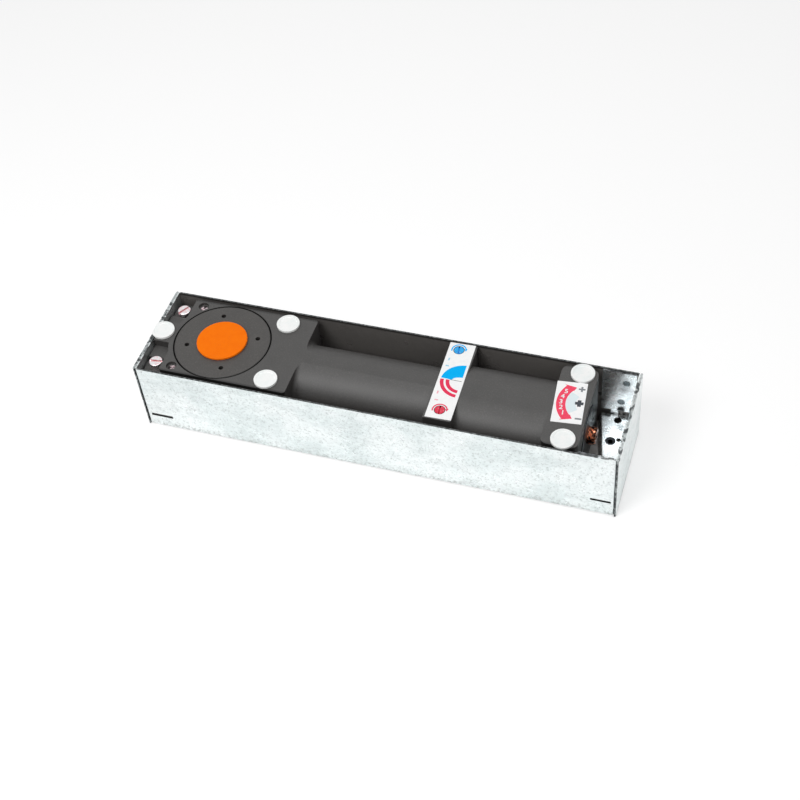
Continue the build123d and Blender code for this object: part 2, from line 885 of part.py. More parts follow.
def heart_cam():
    """The cam plate on the spindle."""
    plate = Pos(spindle_x, 0, cam_bottom) * extrude(cam_outline(), cam_thickness)
    plate -= rod_z(0, box_height, spindle_x, 0, cam_seat_radius + cam_bore_clearance)
    return plate - cam_key_block(key_top_gap)


def cam_circlip():
    """The spring ring under the cam, open at one side."""
    low, high = circlip_span()
    inner = cam_seat_radius - circlip_groove_depth + circlip_gap
    ring = tube_z(low + circlip_gap, high, spindle_x, 0, inner + circlip_width, inner)
    far = spindle_x - inner - 2 * circlip_width
    return ring - block(far, spindle_x, -circlip_width, circlip_width, low, high)


def protective_cap():
    """The push-in cap that covers the spindle until the door is hung."""
    disc = rod_z(cap_bottom, cap_bottom + cap_thickness, spindle_x, 0, cap_radius)
    disc = fillet(disc.edges().group_by(Axis.Z)[-1], cap_edge_round)
    stem_width = socket_width - 2 * cap_stem_clearance
    stem_top = cap_bottom + overrun
    stem_low = spindle_top - cap_stem_length
    neck = stem_width - 2 * cap_stem_clearance
    post = block(
        spindle_x - neck / 2, spindle_x + neck / 2, -neck / 2, neck / 2, spindle_top - overrun, stem_top
    )
    taper = socket_taper_solid(neck, spindle_top - stem_low, spindle_top)
    return disc + post + taper


# Piston, roller and check valve

def piston():
    """The piston: a fork for the roller, a ground body, a seal groove and a spring spigot."""
    radius = bore_radius - bore_clearance
    fork_left = roller_x - fork_reach
    fork = rod_x(fork_left, piston_left + overrun, 0, axis_z, radius) & block(
        fork_left,
        piston_left + overrun,
        -fork_half_width,
        fork_half_width,
        axis_z - fork_half_height,
        axis_z + fork_half_height,
    )
    relief_right = piston_left + piston_relief_length
    body = fork + rod_x(piston_left, relief_right, 0, axis_z, radius - piston_relief)
    body += rod_x(relief_right, piston_right, 0, axis_z, radius)
    body += rod_x(piston_right, piston_right + spigot_length, 0, axis_z, spigot_radius)
    slot_half = cam_thickness / 2 + fork_slot_clearance
    slot_left = fork_left - overrun
    slot_right = roller_x + roller_radius + fork_slot_clearance
    body -= block(slot_left, slot_right, -box_width, box_width, axis_z - slot_half, axis_z + slot_half)
    body -= rod_z(0, box_height, roller_x, 0, roller_pin_radius + press_clearance)
    end = piston_right + spigot_length
    body -= rod_x(slot_right - overrun, end, 0, axis_z, oil_way_radius)
    body -= rod_x(end - valve_pocket_depth, end + overrun, 0, axis_z, valve_pocket_radius)
    groove_right = piston_right - piston_seal_from_end
    groove = tube_x(
        groove_right - piston_seal_width, groove_right, 0, axis_z, bore_radius, radius - piston_seal_depth
    )
    return body - groove


def piston_seal():
    """The ring in the groove of the piston."""
    right = piston_right - piston_seal_from_end - press_clearance
    left = right - piston_seal_width + 2 * press_clearance
    radius = bore_radius - bore_clearance
    return tube_x(left, right, 0, axis_z, radius, radius - piston_seal_depth + press_clearance)


def roller_pin():
    """The pin of the roller, held in both cheeks of the fork."""
    low = axis_z - fork_half_height + running_clearance
    return rod_z(low, axis_z + fork_half_height - running_clearance, roller_x, 0, roller_pin_radius)


def roller_bush():
    """The bush in the roller, which runs on the pin."""
    half = cam_thickness / 2
    inner = roller_pin_radius + running_clearance
    return tube_z(axis_z - half, axis_z + half, roller_x, 0, inner + roller_bush_wall, inner)


def cam_roller():
    """The hardened roller that follows the cam."""
    half = cam_thickness / 2
    inner = roller_pin_radius + running_clearance + roller_bush_wall + press_clearance
    return tube_z(axis_z - half, axis_z + half, roller_x, 0, roller_radius, inner)


def check_valve_body():
    """The plug that keeps the check ball in its pocket."""
    right = piston_right + spigot_length
    left = right - valve_body_length
    body = rod_x(left, right, 0, axis_z, valve_pocket_radius - press_clearance)
    body -= rod_x(left - overrun, left + valve_body_bore_length, 0, axis_z, valve_body_bore_radius)
    return body - rod_x(left, right + overrun, 0, axis_z, valve_body_hole_radius)


def check_ball():
    """The ball that lets oil through one way."""
    pocket = piston_right + spigot_length - valve_pocket_depth
    seat = math.sqrt(check_ball_radius**2 - oil_way_radius**2)
    return Pos(pocket + seat + check_ball_gap, 0, axis_z) * Sphere(check_ball_radius)


# Spring and force adjuster

def main_spring():
    """The closing spring, as a plain sleeve of its real outer and inner size."""
    outer = bore_radius - spring_outer_clearance
    inner = spigot_radius + spring_inner_clearance
    return tube_x(piston_right, spring_plate_left, 0, axis_z, outer, inner)


def plate_key_block(clearance):
    """The key that stops the spring plate turning, or its slot in the plate."""
    low = axis_z - bore_radius - plate_key_height
    half = plate_key_width / 2
    return block(spring_plate_left, spring_plate_right, -half, half, low, low + plate_key_depth + clearance)


def spring_plate():
    """The threaded plate that the spring pushes on."""
    plate = rod_x(spring_plate_left, spring_plate_right, 0, axis_z, bore_radius - spring_plate_clearance)
    plate -= rod_x(spring_plate_left - overrun, pad_right, 0, axis_z, adjuster_radius + running_clearance)
    return plate - plate_key_block(press_clearance)


def adjusting_screw():
    """The screw that draws the spring plate along, with a hexagon socket in its outer end."""
    left = plug_seat - adjuster_inner_reach - spring_plate_to_plug
    right = pad_right + adjuster_outer_reach
    screw = rod_x(left, right, 0, axis_z, adjuster_radius)
    screw = chamfer(screw.edges().filter_by(GeomType.CIRCLE), adjuster_chamfer)
    screw += rod_x(collar_right - adjuster_collar_length, collar_right, 0, axis_z, adjuster_collar_radius)
    outline = Plane.YZ * RegularPolygon(adjuster_socket_width / math.sqrt(3), 6)
    socket = extrude(outline, 2 * adjuster_socket_depth)
    return screw - Pos(right - adjuster_socket_depth, 0, axis_z) * socket


def thrust_washer():
    """The washer between the collar of the screw and the end plug."""
    inner = adjuster_radius + 2 * running_clearance
    return tube_x(washer_left, plug_seat, 0, axis_z, adjuster_collar_radius, inner)


def end_plug():
    """The threaded plug that closes the bore."""
    right = pad_right + end_plug_stand
    radius = plug_bore_radius - press_clearance
    plug = rod_x(plug_seat, right, 0, axis_z, radius)
    plug -= rod_x(plug_seat - overrun, right + overrun, 0, axis_z, adjuster_radius + 2 * running_clearance)
    middle = (plug_seat + right) / 2
    outer_low = middle - end_plug_seal_width / 2
    plug -= tube_x(
        outer_low, outer_low + end_plug_seal_width, 0, axis_z, plug_bore_radius, radius - end_plug_seal_depth
    )
    inner_low = middle - adjuster_seal_width / 2
    inner_high = inner_low + adjuster_seal_width
    plug -= rod_x(inner_low, inner_high, 0, axis_z, adjuster_radius + adjuster_seal_depth)
    for side in (-1, 1):
        plug -= rod_x(
            right - plug_hole_depth, right + overrun, side * plug_hole_offset, axis_z, plug_hole_radius
        )
    return plug


def plug_seal():
    """The sealing ring round the end plug."""
    middle = (plug_seat + pad_right + end_plug_stand) / 2
    half = end_plug_seal_width / 2
    radius = plug_bore_radius - press_clearance
    return tube_x(
        middle - half, middle + half, 0, axis_z, radius, radius - end_plug_seal_depth + press_clearance
    )


def adjuster_seal():
    """The sealing ring round the adjusting screw."""
    middle = (plug_seat + pad_right + end_plug_stand) / 2
    half = adjuster_seal_width / 2
    outer = adjuster_radius + adjuster_seal_depth - press_clearance
    return tube_x(middle - half, middle + half, 0, axis_z, outer, adjuster_radius + running_clearance)


# Valves, ducts and labels

def valve_screw(x, y, top, turn):
    """A speed valve: slotted head, shank with a seal groove, and a needle."""
    head_low = body_top - valve_head_height
    shank_low = body_top - valve_head_pocket - valve_way_length + valve_needle_length
    screw = rod_z(head_low, top, x, y, valve_head_radius)
    screw += rod_z(shank_low, head_low, x, y, valve_shank_radius)
    needle = Cone(valve_needle_tip_radius, duct_radius, valve_needle_length)
    screw += Pos(x, y, shank_low - valve_needle_length / 2) * needle
    screw = slotted(screw, x, y, top, valve_head_radius, valve_slot_width, valve_slot_depth, turn)
    return screw - valve_groove(x, y, valve_seal_width, valve_head_radius - valve_seal_depth)


def valve_groove(x, y, width, inner):
    """The ring-shaped space in the head that takes the seal."""
    low = body_top - valve_head_height + valve_seal_height
    return tube_z(low, low + width, x, y, valve_head_radius + overrun, inner)


def valve_seal(x, y):
    """The sealing ring in the head of a speed valve."""
    low = body_top - valve_head_height + valve_seal_height + press_clearance
    inner = valve_head_radius - valve_seal_depth + press_clearance
    high = low + valve_seal_width - 2 * press_clearance
    return tube_z(low, high, x, y, valve_head_radius, inner)


def gallery_plug():
    """The plug in the outer end of the oil gallery."""
    return rod_x(
        pad_right - duct_plug_length,
        pad_right,
        gallery_offset,
        body_top - gallery_drop,
        duct_radius - press_clearance,
    )


def cross_duct_plug():
    """The plug in the end of the cross duct."""
    places = valve_places()
    cross_x = (places[0][0] + places[1][0]) / 2
    low = places[0][1] + valve_head_radius + valve_clearance
    return rod_y(low, rib_half_length, cross_x, body_top - gallery_drop, duct_radius - press_clearance)


def label(width, length, x, offset, turn):
    """A thin printed plate on top of the body."""
    sheet = Pos(x, offset, body_top + label_thickness / 2) * Rot(0, 0, turn)
    return sheet * Box(width, length, label_thickness)


def speed_label():
    """The label on the rib, with a hole over each valve."""
    middle = rib_left + speed_label_from_rib
    plate = label(speed_label_width, speed_label_length, middle, speed_label_offset, speed_label_turn)
    for x, y in valve_places():
        plate -= rod_z(0, box_height + overrun, x, y, valve_head_radius + label_hole_gap)
    return plate


def force_label():
    """The label on the pad, next to the adjuster."""
    middle = right_end - force_label_from_right
    return label(force_label_width, force_label_length, middle, force_label_offset, force_label_turn)


# Discs and screws

def hole_disc(x, y):
    """A push-in disc with a shallow dish that closes one tapped hole."""
    top = body_top + disc_thickness
    disc = rod_z(body_top, top, x, y, disc_radius)
    disc -= rod_z(top - disc_dish, top + overrun, x, y, disc_radius - disc_rim)
    stem_radius = cover_hole_radius - disc_stem_clearance
    return disc + rod_z(body_top - disc_stem_length, body_top + overrun, x, y, stem_radius)


def end_disc():
    """The disc at the left end, cut straight, which reaches over the rim of the box."""
    x, y = floor_plate_holes()[0]
    disc = hole_disc(x, y)
    disc -= block(
        x - 2 * disc_radius, left_end, -box_width, box_width, body_bottom, box_height + 2 * disc_thickness
    )
    return disc - block(
        x - 2 * disc_radius, body_left, -box_width, box_width, body_bottom, box_height + disc_over_rim
    )


def clamp_screws():
    """The two long slotted screws that hold the body down on the rail."""
    screws = []
    head_low = body_top - ear_drop
    head_top = head_low + clamp_head_height
    places = mirrored([(left_end + clamp_screw_from_left, clamp_screw_offset)])
    for (x, y), turn in zip(places, clamp_slot_turns):
        screw = rod_z(head_low, head_top, x, y, clamp_head_radius)
        screw = fillet(screw.edges().group_by(Axis.Z)[-1], clamp_slot_width / 2)
        screw += rod_z(floor_z + clamp_end_gap, head_low, x, y, clamp_shank_radius)
        screws.append(
            slotted(screw, x, y, head_top, clamp_head_radius, clamp_slot_width, clamp_slot_depth, turn)
        )
    return Compound(children=screws)


def rail_nuts():
    """The two nuts under the rail."""
    nuts = []
    for x, y in mirrored([(left_end + clamp_screw_from_left, clamp_screw_offset)]):
        nut = hexagon(nut_width, nut_height, x, y, rail_top - rail_sheet)
        nuts.append(nut - rod_z(0, rail_top, x, y, clamp_shank_radius + press_clearance))
    return Compound(children=nuts)


def bleed_screws():
    """The two small slotted screws that close the bleed ducts."""
    screws = []
    top = body_top - bleed_screw_drop
    places = mirrored([(left_end + bleed_screw_from_left, bleed_screw_offset)])
    for (x, y), turn in zip(places, bleed_slot_turns):
        screw = rod_z(top - bleed_screw_length, top, x, y, bleed_screw_radius)
        screws.append(slotted(screw, x, y, top, bleed_screw_radius, bleed_slot_width, bleed_slot_depth, turn))
    return Compound(children=screws)


def levelling_screws():
    """The two socket screws in the bracket that stand on the floor of the box."""
    screws = []
    top = bracket_top - levelling_drop
    for x, y in mirrored([(right_end - levelling_from_right, levelling_offset)]):
        screw = rod_z(floor_z, top, x, y, levelling_radius)
        socket = hexagon(levelling_socket_width, levelling_socket_depth + overrun, x, y, top + overrun)
        screws.append(screw - socket)
    return Compound(children=screws)


def foot_screws():
    """The two screws under the foot of the bracket that hold the body."""
    screws = []
    flange_low = body_bottom - bracket_sheet
    tip = body_bottom + foot_screw_length - foot_screw_end_gap
    for x, y in mirrored([(right_end - foot_screw_from_right, foot_screw_offset)]):
        screw = rod_z(flange_low - foot_head_height, flange_low, x, y, foot_head_radius)
        screw += rod_z(flange_low, tip, x, y, foot_screw_radius)
        screws.append(screw)
    return Compound(children=screws)


def all_parts():
    """Every sub-part by its name."""
    upper_inner, upper_outer, upper_balls = upper_bearing()
    lower_inner, lower_outer, lower_balls = lower_bearing()
    places = floor_plate_holes()
    closing, latching = valve_places()
    valve_top = body_top + label_thickness
    return {
        "box_channel": box_channel(),
        "left_end_plate": end_plate(-1),
        "right_end_plate": end_plate(1),
        "left_rail": left_rail(),
        "right_bracket": right_bracket(),
        "closer_body": closer_body(),
        "bearing_cover": bearing_cover(),
        "cover_seal": cover_seal(),
        "lip_seal": lip_seal(),
        "upper_bearing_inner_ring": upper_inner,
        "upper_bearing_outer_ring": upper_outer,
        "upper_bearing_balls": upper_balls,
        "lower_bearing_inner_ring": lower_inner,
        "lower_bearing_outer_ring": lower_outer,
        "lower_bearing_balls": lower_balls,
        "spindle": spindle(),
        "heart_cam": heart_cam(),
        "cam_key": cam_key_block(0),
        "cam_circlip": cam_circlip(),
        "protective_cap": protective_cap(),
        "piston": piston(),
        "piston_seal": piston_seal(),
        "roller_pin": roller_pin(),
        "roller_bush": roller_bush(),
        "cam_roller": cam_roller(),
        "check_valve_body": check_valve_body(),
        "check_ball": check_ball(),
        "main_spring": main_spring(),
        "spring_plate": spring_plate(),
        "spring_plate_key": plate_key_block(0),
        "adjusting_screw": adjusting_screw(),
        "thrust_washer": thrust_washer(),
        "end_plug": end_plug(),
        "end_plug_seal": plug_seal(),
        "adjusting_screw_seal": adjuster_seal(),
        "closing_valve_screw": valve_screw(*closing, valve_top, valve_slot_turns[0]),
        "closing_valve_seal": valve_seal(*closing),
        "latch_valve_screw": valve_screw(*latching, valve_top, valve_slot_turns[1]),
        "latch_valve_seal": valve_seal(*latching),
        "gallery_plug": gallery_plug(),
        "cross_duct_plug": cross_duct_plug(),
        "speed_label": speed_label(),
        "force_label": force_label(),
        "left_hole_disc": end_disc(),
        "rear_hole_disc": hole_disc(*places[1]),
        "front_hole_disc": hole_disc(*places[2]),
        "rear_pad_disc": hole_disc(*places[3]),
        "front_pad_disc": hole_disc(*places[4]),
        "clamp_screws": clamp_screws(),
        "rail_nuts": rail_nuts(),
        "bleed_screws": bleed_screws(),
        "levelling_screws": levelling_screws(),
        "foot_screws": foot_screws(),
    }


os.makedirs("parts", exist_ok=True)
for node, shape in all_parts().items():
    export_step(shape, f"parts/{node}.step")
    box = shape.bounding_box()
    print(node, [round(v, 2) for v in (*box.min, *box.max)])
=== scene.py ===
# %% [markdown]
# A floor spring is the closer of a swing door: a cast hydraulic body in a sheet steel box that is let into
# the floor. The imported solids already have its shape, so this lesson dresses them. It gives each part the
# finish of the real one, adds the prints of the two labels and the adjusting screw's thread as thin surfaces
# of their own, and sets up the light and the camera. Loading the solids first means that every later piece
# can be put in metres where it belongs, with nothing to fit by eye.

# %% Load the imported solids
import math
import bmesh
import bpy
import numpy as np
from mathutils import Matrix, Vector


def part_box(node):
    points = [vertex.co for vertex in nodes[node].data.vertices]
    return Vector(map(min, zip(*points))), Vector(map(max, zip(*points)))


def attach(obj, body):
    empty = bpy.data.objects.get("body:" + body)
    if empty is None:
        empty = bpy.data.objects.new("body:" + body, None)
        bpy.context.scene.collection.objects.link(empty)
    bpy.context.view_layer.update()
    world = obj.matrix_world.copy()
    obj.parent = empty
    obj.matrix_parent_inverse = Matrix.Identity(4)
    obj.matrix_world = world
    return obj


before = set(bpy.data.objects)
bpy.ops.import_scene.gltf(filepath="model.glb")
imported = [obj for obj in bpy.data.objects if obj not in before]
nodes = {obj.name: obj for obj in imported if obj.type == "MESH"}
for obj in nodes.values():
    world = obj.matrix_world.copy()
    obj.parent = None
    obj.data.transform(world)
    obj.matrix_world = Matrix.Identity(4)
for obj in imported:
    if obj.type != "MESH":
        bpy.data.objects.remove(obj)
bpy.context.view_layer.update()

# %% [markdown]
# A finish is a Principled shader whose colour, roughness and bump come from small patterns. Building each
# tree by hand takes many repeated lines, so a few short helpers do it. The first ones make a material, add a
# node and lead an output into the shader. Colours are written as they look on screen, from 0 to 255, and
# turned into the linear values of the shader.

# %% Helpers that build a finish
def paint(red, green, blue):
    """A screen colour as linear light: each channel is taken off the sRGB curve."""
    channels = np.array([red, green, blue]) / 255
    linear = np.where(channels <= 0.04045, channels / 12.92, ((channels + 0.055) / 1.055) ** 2.4)
    return (*linear.tolist(), 1.0)


def new_finish(name, rough, metal=0.0):
    """A material with one Principled shader, whose plain numbers are set on its own sockets."""
    finish = bpy.data.materials.new(name)
    finish.use_nodes = True
    shader = finish.node_tree.nodes["Principled BSDF"]
    shader.inputs["Metallic"].default_value = metal
    shader.inputs["Roughness"].default_value = rough
    return finish, shader


def add(finish, kind, settings=None, **sockets):
    """Adds a node. A socket gets a number, a colour or the output of another node, by name or by _number."""
    node = finish.node_tree.nodes.new("ShaderNode" + kind)
    for name, value in (settings or {}).items():
        setattr(node, name, value)
    for name, value in sockets.items():
        socket = node.inputs[int(name[1:])] if name[0] == "_" else node.inputs[name.replace("_", " ")]
        if isinstance(value, bpy.types.NodeSocket):
            finish.node_tree.links.new(value, socket)
        else:
            socket.default_value = value
    return node


def wire(finish, shader, **outputs):
    """Leads pattern outputs into the shader's sockets, named with _ for a space."""
    for name, output in outputs.items():
        finish.node_tree.links.new(output, shader.inputs[name.replace("_", " ")])
    return finish


finishes = {}
print("half of the screen's white is", round(paint(128, 128, 128)[0], 2), "of its light")

# %% [markdown]
# The other helpers make the patterns. A pattern is worked out from the place of a point on the part, so it
# needs no unwrapping and stays put when a joint moves. Most patterns are noise of a given size, turned into
# a share between two limits, and that share then mixes two colours or sets the roughness.

# %% Helpers that make patterns
def point(finish, centre=(0, 0, 0), turn=(0, 0, 0), stretch=(1, 1, 1)):
    """The place on the part, in metres, seen from a centre, turned back and divided by the stretch."""
    place = add(finish, "TexCoord").outputs["Object"]
    mapping = add(finish, "Mapping", {"vector_type": "TEXTURE"}, Vector=place, Location=centre,
                  Rotation=turn, Scale=stretch)
    return mapping.outputs["Vector"]


def split(finish, vector):
    """The x, y and z of a place or of a direction."""
    return add(finish, "SeparateXYZ", None, Vector=vector).outputs


def spread(finish, value, low, high, out_low, out_high, smooth=False):
    """The value between low and high becomes one between out_low and out_high, and stays in them."""
    kind = "SMOOTHSTEP" if smooth else "LINEAR"
    node = add(finish, "MapRange", {"interpolation_type": kind}, Value=value, From_Min=low, From_Max=high,
               To_Min=out_low, To_Max=out_high)
    return node.outputs["Result"]


def cloud(finish, where, size, detail, rough):
    """Soft noise whose patches are about this size, in metres."""
    return add(finish, "TexNoise", None, Vector=where, Scale=1 / size, Detail=detail,
               Roughness=rough).outputs["Fac"]


def between(finish, share, first, second):
    """A colour that goes from the first to the second as the share goes from 0 to 1."""
    return add(finish, "Mix", {"data_type": "RGBA"}, _0=share, _6=first, _7=second).outputs[2]


def times(finish, first, second):
    """The product of two values."""
    return add(finish, "Math", {"operation": "MULTIPLY"}, _0=first, _1=second).outputs[0]


def band(finish, value, start, full, last, end):
    """1 from full to last, going down to 0 at start and at end."""
    return times(finish, spread(finish, value, start, full, 0.0, 1.0),
                 spread(finish, value, last, end, 1.0, 0.0))


def absolute(finish, value, less=0.0):
    """How far a value is from a number."""
    away = add(finish, "Math", {"operation": "SUBTRACT"}, _0=value, _1=less).outputs[0]
    return add(finish, "Math", {"operation": "ABSOLUTE"}, _0=away).outputs[0]


def distance(finish, where, centre):
    """How far a place is from a centre, in metres."""
    return add(finish, "VectorMath", {"operation": "DISTANCE"}, _0=where, _1=centre).outputs["Value"]


def wave_scale(pitch):
    """The Scale of a wave texture whose lines are this far apart: a line comes every 2 pi / (20 Scale)."""
    return 2 * math.pi / (20 * pitch)


def relief(finish, height, depth, strength, below=None):
    """A bump whose full height is this depth, in metres, on top of another bump if there is one."""
    node = add(finish, "Bump", None, Height=height, Distance=depth, Strength=strength)
    if below is not None:
        finish.node_tree.links.new(below, node.inputs["Normal"])
    return node.outputs["Normal"]


print("lines 0.3 mm apart need a wave scale of", round(wave_scale(0.0003)))

# %% [markdown]
# The box is hot dip galvanised steel. Zinc freezes in flat crystals a few millimetres wide, which show as a
# faint mosaic over broad paler and greyer patches, with rub marks and grey specks. A drawn picture would
# need unwrapping, but Voronoi cells give every wall its own mosaic without a seam.

# %% Clean zinc
CRYSTALS_PER_METRE = 330.0


def zinc_tone(finish, where, tone, shade, specks):
    """The zinc's colour, and the three patterns that also raise it: crystals, rub marks and specks."""
    crystals = add(finish, "TexVoronoi", {"feature": "F1"}, Vector=where, Scale=CRYSTALS_PER_METRE,
                   Randomness=1.0)
    crystal = add(finish, "SeparateColor", None, Color=crystals.outputs["Color"]).outputs[0]
    broad = cloud(finish, where, 0.035, 2.0, 0.5)
    rubbed = cloud(finish, point(finish, stretch=(3, 1, 1)), 0.006, 4.0, 0.65)
    speck = cloud(finish, where, 0.0016, 3.0, 0.7)
    colour = between(finish, spread(finish, crystal, 0.0, 1.0, 0.0, 0.45), tone, shade)
    colour = between(finish, spread(finish, broad, 0.42, 0.6, 0.0, 0.48), colour, paint(250, 252, 252))
    colour = between(finish, spread(finish, broad, 0.3, 0.45, 0.3, 0.0), colour, paint(206, 211, 211))
    colour = between(finish, spread(finish, rubbed, 0.5, 0.8, 0.0, 0.4), colour, paint(188, 196, 196))
    colour = between(finish, spread(finish, speck, 0.52, 0.68, 0.0, specks), colour, paint(160, 166, 164))
    return colour, (crystal, rubbed, speck)


def wire_zinc(finish, shader, colour, patterns, gloss):
    """The crystals, the rub marks and the specks raise the sheet, and the crystals vary its gloss."""
    crystal, rubbed, speck = patterns
    bumps = relief(finish, crystal, 0.00002, 0.3)
    bumps = relief(finish, rubbed, 0.00006, 0.3, bumps)
    bumps = relief(finish, speck, 0.00002, 0.4, bumps)
    return wire(finish, shader, Base_Color=colour, Normal=bumps,
                Roughness=spread(finish, crystal, 0, 1, gloss - 0.06, gloss + 0.07))


print("zinc crystals are about", round(1000 / CRYSTALS_PER_METRE, 1), "mm wide")

# %% [markdown]
# Making and use leave marks on the sheet. Grime gathers in spots along the lower edge, the corner seams are
# burnt and the sheared rim has lost its zinc. The cut faces of the slots in the walls are painted dark as
# shade. The rim is bright where it has been rubbed, which is on the end plates and on the front wall beside
# the bracket, with dark chips in it. Each of these is a share that follows from the place on the part and is
# broken up by noise, so the same few functions serve the box and the bracket in it.

# %% Marks on the zinc
SHEET = 0.001
SHARP = 0.0001
SEAM_BESIDE_CHANNEL = 0.0004
PLATE_ZONE = 0.0014
BRIGHT_RIM_X = 0.1567
SLOT_LOW, SLOT_HIGH = 0.009, 0.016
channel_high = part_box("box_channel")[1]
seam_x, wall_y, rim_z = channel_high


def low_grime(finish, z, spots, colour):
    """Spots of grime on the lowest 8 mm, and a denser line of them on the lowest millimetre."""
    low = spread(finish, z, 0.0, 0.008, 1.0, 0.0, smooth=True)
    grime = times(finish, low, spread(finish, spots, 0.46, 0.6, 0.0, 0.6))
    colour = between(finish, grime, colour, paint(118, 119, 114))
    hem = times(finish, spread(finish, z, 0.0004, 0.0014, 1.0, 0.0, smooth=True),
                spread(finish, spots, 0.42, 0.56, 0.25, 0.85))
    return between(finish, hem, colour, paint(128, 130, 126))


def burnt_seam(finish, along, on_top, spots, colour):
    """A dark line where channel and end plate meet, half as strong on the rim."""
    beside = absolute(finish, along, seam_x + SEAM_BESIDE_CHANNEL)
    seam = times(finish, spread(finish, beside, 0.0005, 0.00095, 1.0, 0.0, smooth=True),
                 spread(finish, on_top, 0.0, 1.0, 1.0, 0.5))
    burnt = times(finish, seam, spread(finish, spots, 0.38, 0.52, 0.45, 0.95))
    return between(finish, burnt, colour, paint(38, 42, 44))


def cut_rim(finish, where, along, on_top, spots, colour):
    """The rim's bare steel is dark, and where it is rubbed bright only the chips stay dark."""
    x, y = split(finish, where)[:2]
    end_plate = spread(finish, along, seam_x - 0.0022, seam_x - PLATE_ZONE, 0.0, 1.0)
    front_end = times(finish, spread(finish, x, BRIGHT_RIM_X - 0.0005, BRIGHT_RIM_X + 0.0005, 0.0, 1.0),
                      spread(finish, y, -0.001, 0.001, 1.0, 0.0))
    rubbed_bright = add(finish, "Math", {"operation": "MAXIMUM"}, _0=end_plate, _1=front_end).outputs[0]
    chipped = spread(finish, cloud(finish, where, 0.0045, 4.0, 0.65), 0.5, 0.54, 0.2, 0.95)
    left_dark = between(finish, rubbed_bright, (1, 1, 1, 1), chipped)
    cut = times(finish, times(finish, on_top, left_dark), spread(finish, spots, 0.36, 0.56, 0.7, 1.0))
    return between(finish, cut, colour, paint(46, 49, 51))


def slot_dirt(finish, along, side, z, colour):
    """Painted shade on the slots' cut faces: within the wall's sheet, at the slots' height, short of the
    seams.
    """
    in_sheet = band(finish, side, wall_y - SHEET - SHARP, wall_y - SHEET + SHARP, wall_y - 2 * SHARP,
                    wall_y - SHARP)
    slot_height = band(finish, z, SLOT_LOW, SLOT_LOW + 0.0005, SLOT_HIGH - 0.0005, SLOT_HIGH)
    inboard = spread(finish, along, seam_x - 0.0018, seam_x - PLATE_ZONE, 1.0, 0.0)
    # The slots lie in shade, so this share paints that shade dark on their cut faces.
    slot_shade_share = times(finish, times(finish, in_sheet, slot_height), inboard)
    return between(finish, slot_shade_share, colour, paint(40, 42, 42))


def zinc(name, tone, shade, specks, gloss, top_z):
    """Clean zinc with all the marks laid over its colour. The caller wires the shader's sockets."""
    finish, shader = new_finish(name, gloss, metal=1.0)
    where = point(finish)
    x, y, z = split(finish, where)
    along, side = absolute(finish, x), absolute(finish, y)
    on_top = spread(finish, z, top_z - 2 * SHARP, top_z - SHARP, 0.0, 1.0)
    spots = cloud(finish, where, 0.0024, 5.0, 0.75)
    colour, patterns = zinc_tone(finish, where, tone, shade, specks)
    colour = low_grime(finish, z, spots, colour)
    colour = burnt_seam(finish, along, on_top, spots, colour)
    colour = cut_rim(finish, where, along, on_top, spots, colour)
    return finish, shader, slot_dirt(finish, along, side, z, colour), patterns


print("seams at x =", round(seam_x * 1000, 1), "mm, rim at z =", round(rim_z * 1000, 1), "mm")

# %% [markdown]
# The box's sheet is a full metal, so its outside shows the white studio and its inside the dark casting. The
# inner walls are painted darker and less metallic as shade, with a painted shadow that is darkest just below
# the rim. The painted shade needs no piece of its own: a point is inside when it lies within the outer faces
# of the sheet, both sideways and downwards.

# %% Galvanised sheet
BOX_GLOSS = 0.33
galvanised, shader, colour, patterns = zinc("galvanised_sheet", paint(232, 240, 240), paint(208, 217, 217),
                                            0.55, BOX_GLOSS, rim_z)
x, y, z = split(galvanised, point(galvanised))
in_width = spread(galvanised, absolute(galvanised, y), wall_y - SHEET - SHARP, wall_y - SHEET + SHARP,
                  1.0, 0.0)
in_length = spread(galvanised, absolute(galvanised, x), seam_x - PLATE_ZONE, seam_x - 0.0012, 1.0, 0.0)
above = spread(galvanised, z, 0.0006, 0.001, 0.0, 1.0)
indoor_shade = times(galvanised, times(galvanised, in_width, in_length), above)
# Painted shade: inside the box the sheet is darker and less metallic than outside.
colour = between(galvanised, indoor_shade, colour, paint(130, 126, 123))
# A painted shadow, nearly black, on the inside just below the rim.
shadow_below_rim = times(galvanised, indoor_shade, spread(galvanised, z, rim_z - 0.0022, rim_z - 0.0008, 0.0, 0.85))
colour = between(galvanised, shadow_below_rim, colour, paint(20, 20, 20))
wire(galvanised, shader, Metallic=spread(galvanised, indoor_shade, 0.0, 1.0, 1.0, 0.5))
finishes["zinc_sheet"] = wire_zinc(galvanised, shader, colour, patterns, BOX_GLOSS)
print("the sheet's finish has", len(galvanised.node_tree.nodes), "nodes")

# %% [markdown]
# The bracket at the adjuster end is brighter and glossier than the box, because it was pressed from sheet
# that was zinc plated later. Its foot lies in the shade under the casting, which is painted on it as a
# darker, less metallic patch. The painted shade follows the skewed bend of the bracket, so its place is read
# from a point on the bend and turned with it. Spot welds hold its two flanges to the walls, each one burnt
# grey, and a painted shade lies along the flange's bend.

# %% Bracket with painted shade on its foot
BRACKET_GLOSS = 0.22
BEND_X, BEND_DEGREES = 0.1538, 12.7
PLATE_TOP = 0.0152
WELD_PLACES = ((0.1601, 0.048), (0.1571, 0.0285))
WELD_FULL, WELD_END = 0.0028, 0.0038
FOOT_SHADE_FULL, FOOT_SHADE_END = -0.0028, -0.0006
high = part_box("right_bracket")[1]
bracket, shader, colour, patterns = zinc("bright_bracket_sheet", paint(246, 250, 252), paint(222, 232, 237),
                                         0.3, BRACKET_GLOSS, high.z)
bend = point(bracket, centre=(BEND_X, 0, 0), turn=(0, 0, math.radians(BEND_DEGREES)))
beyond = split(bracket, bend)["X"]
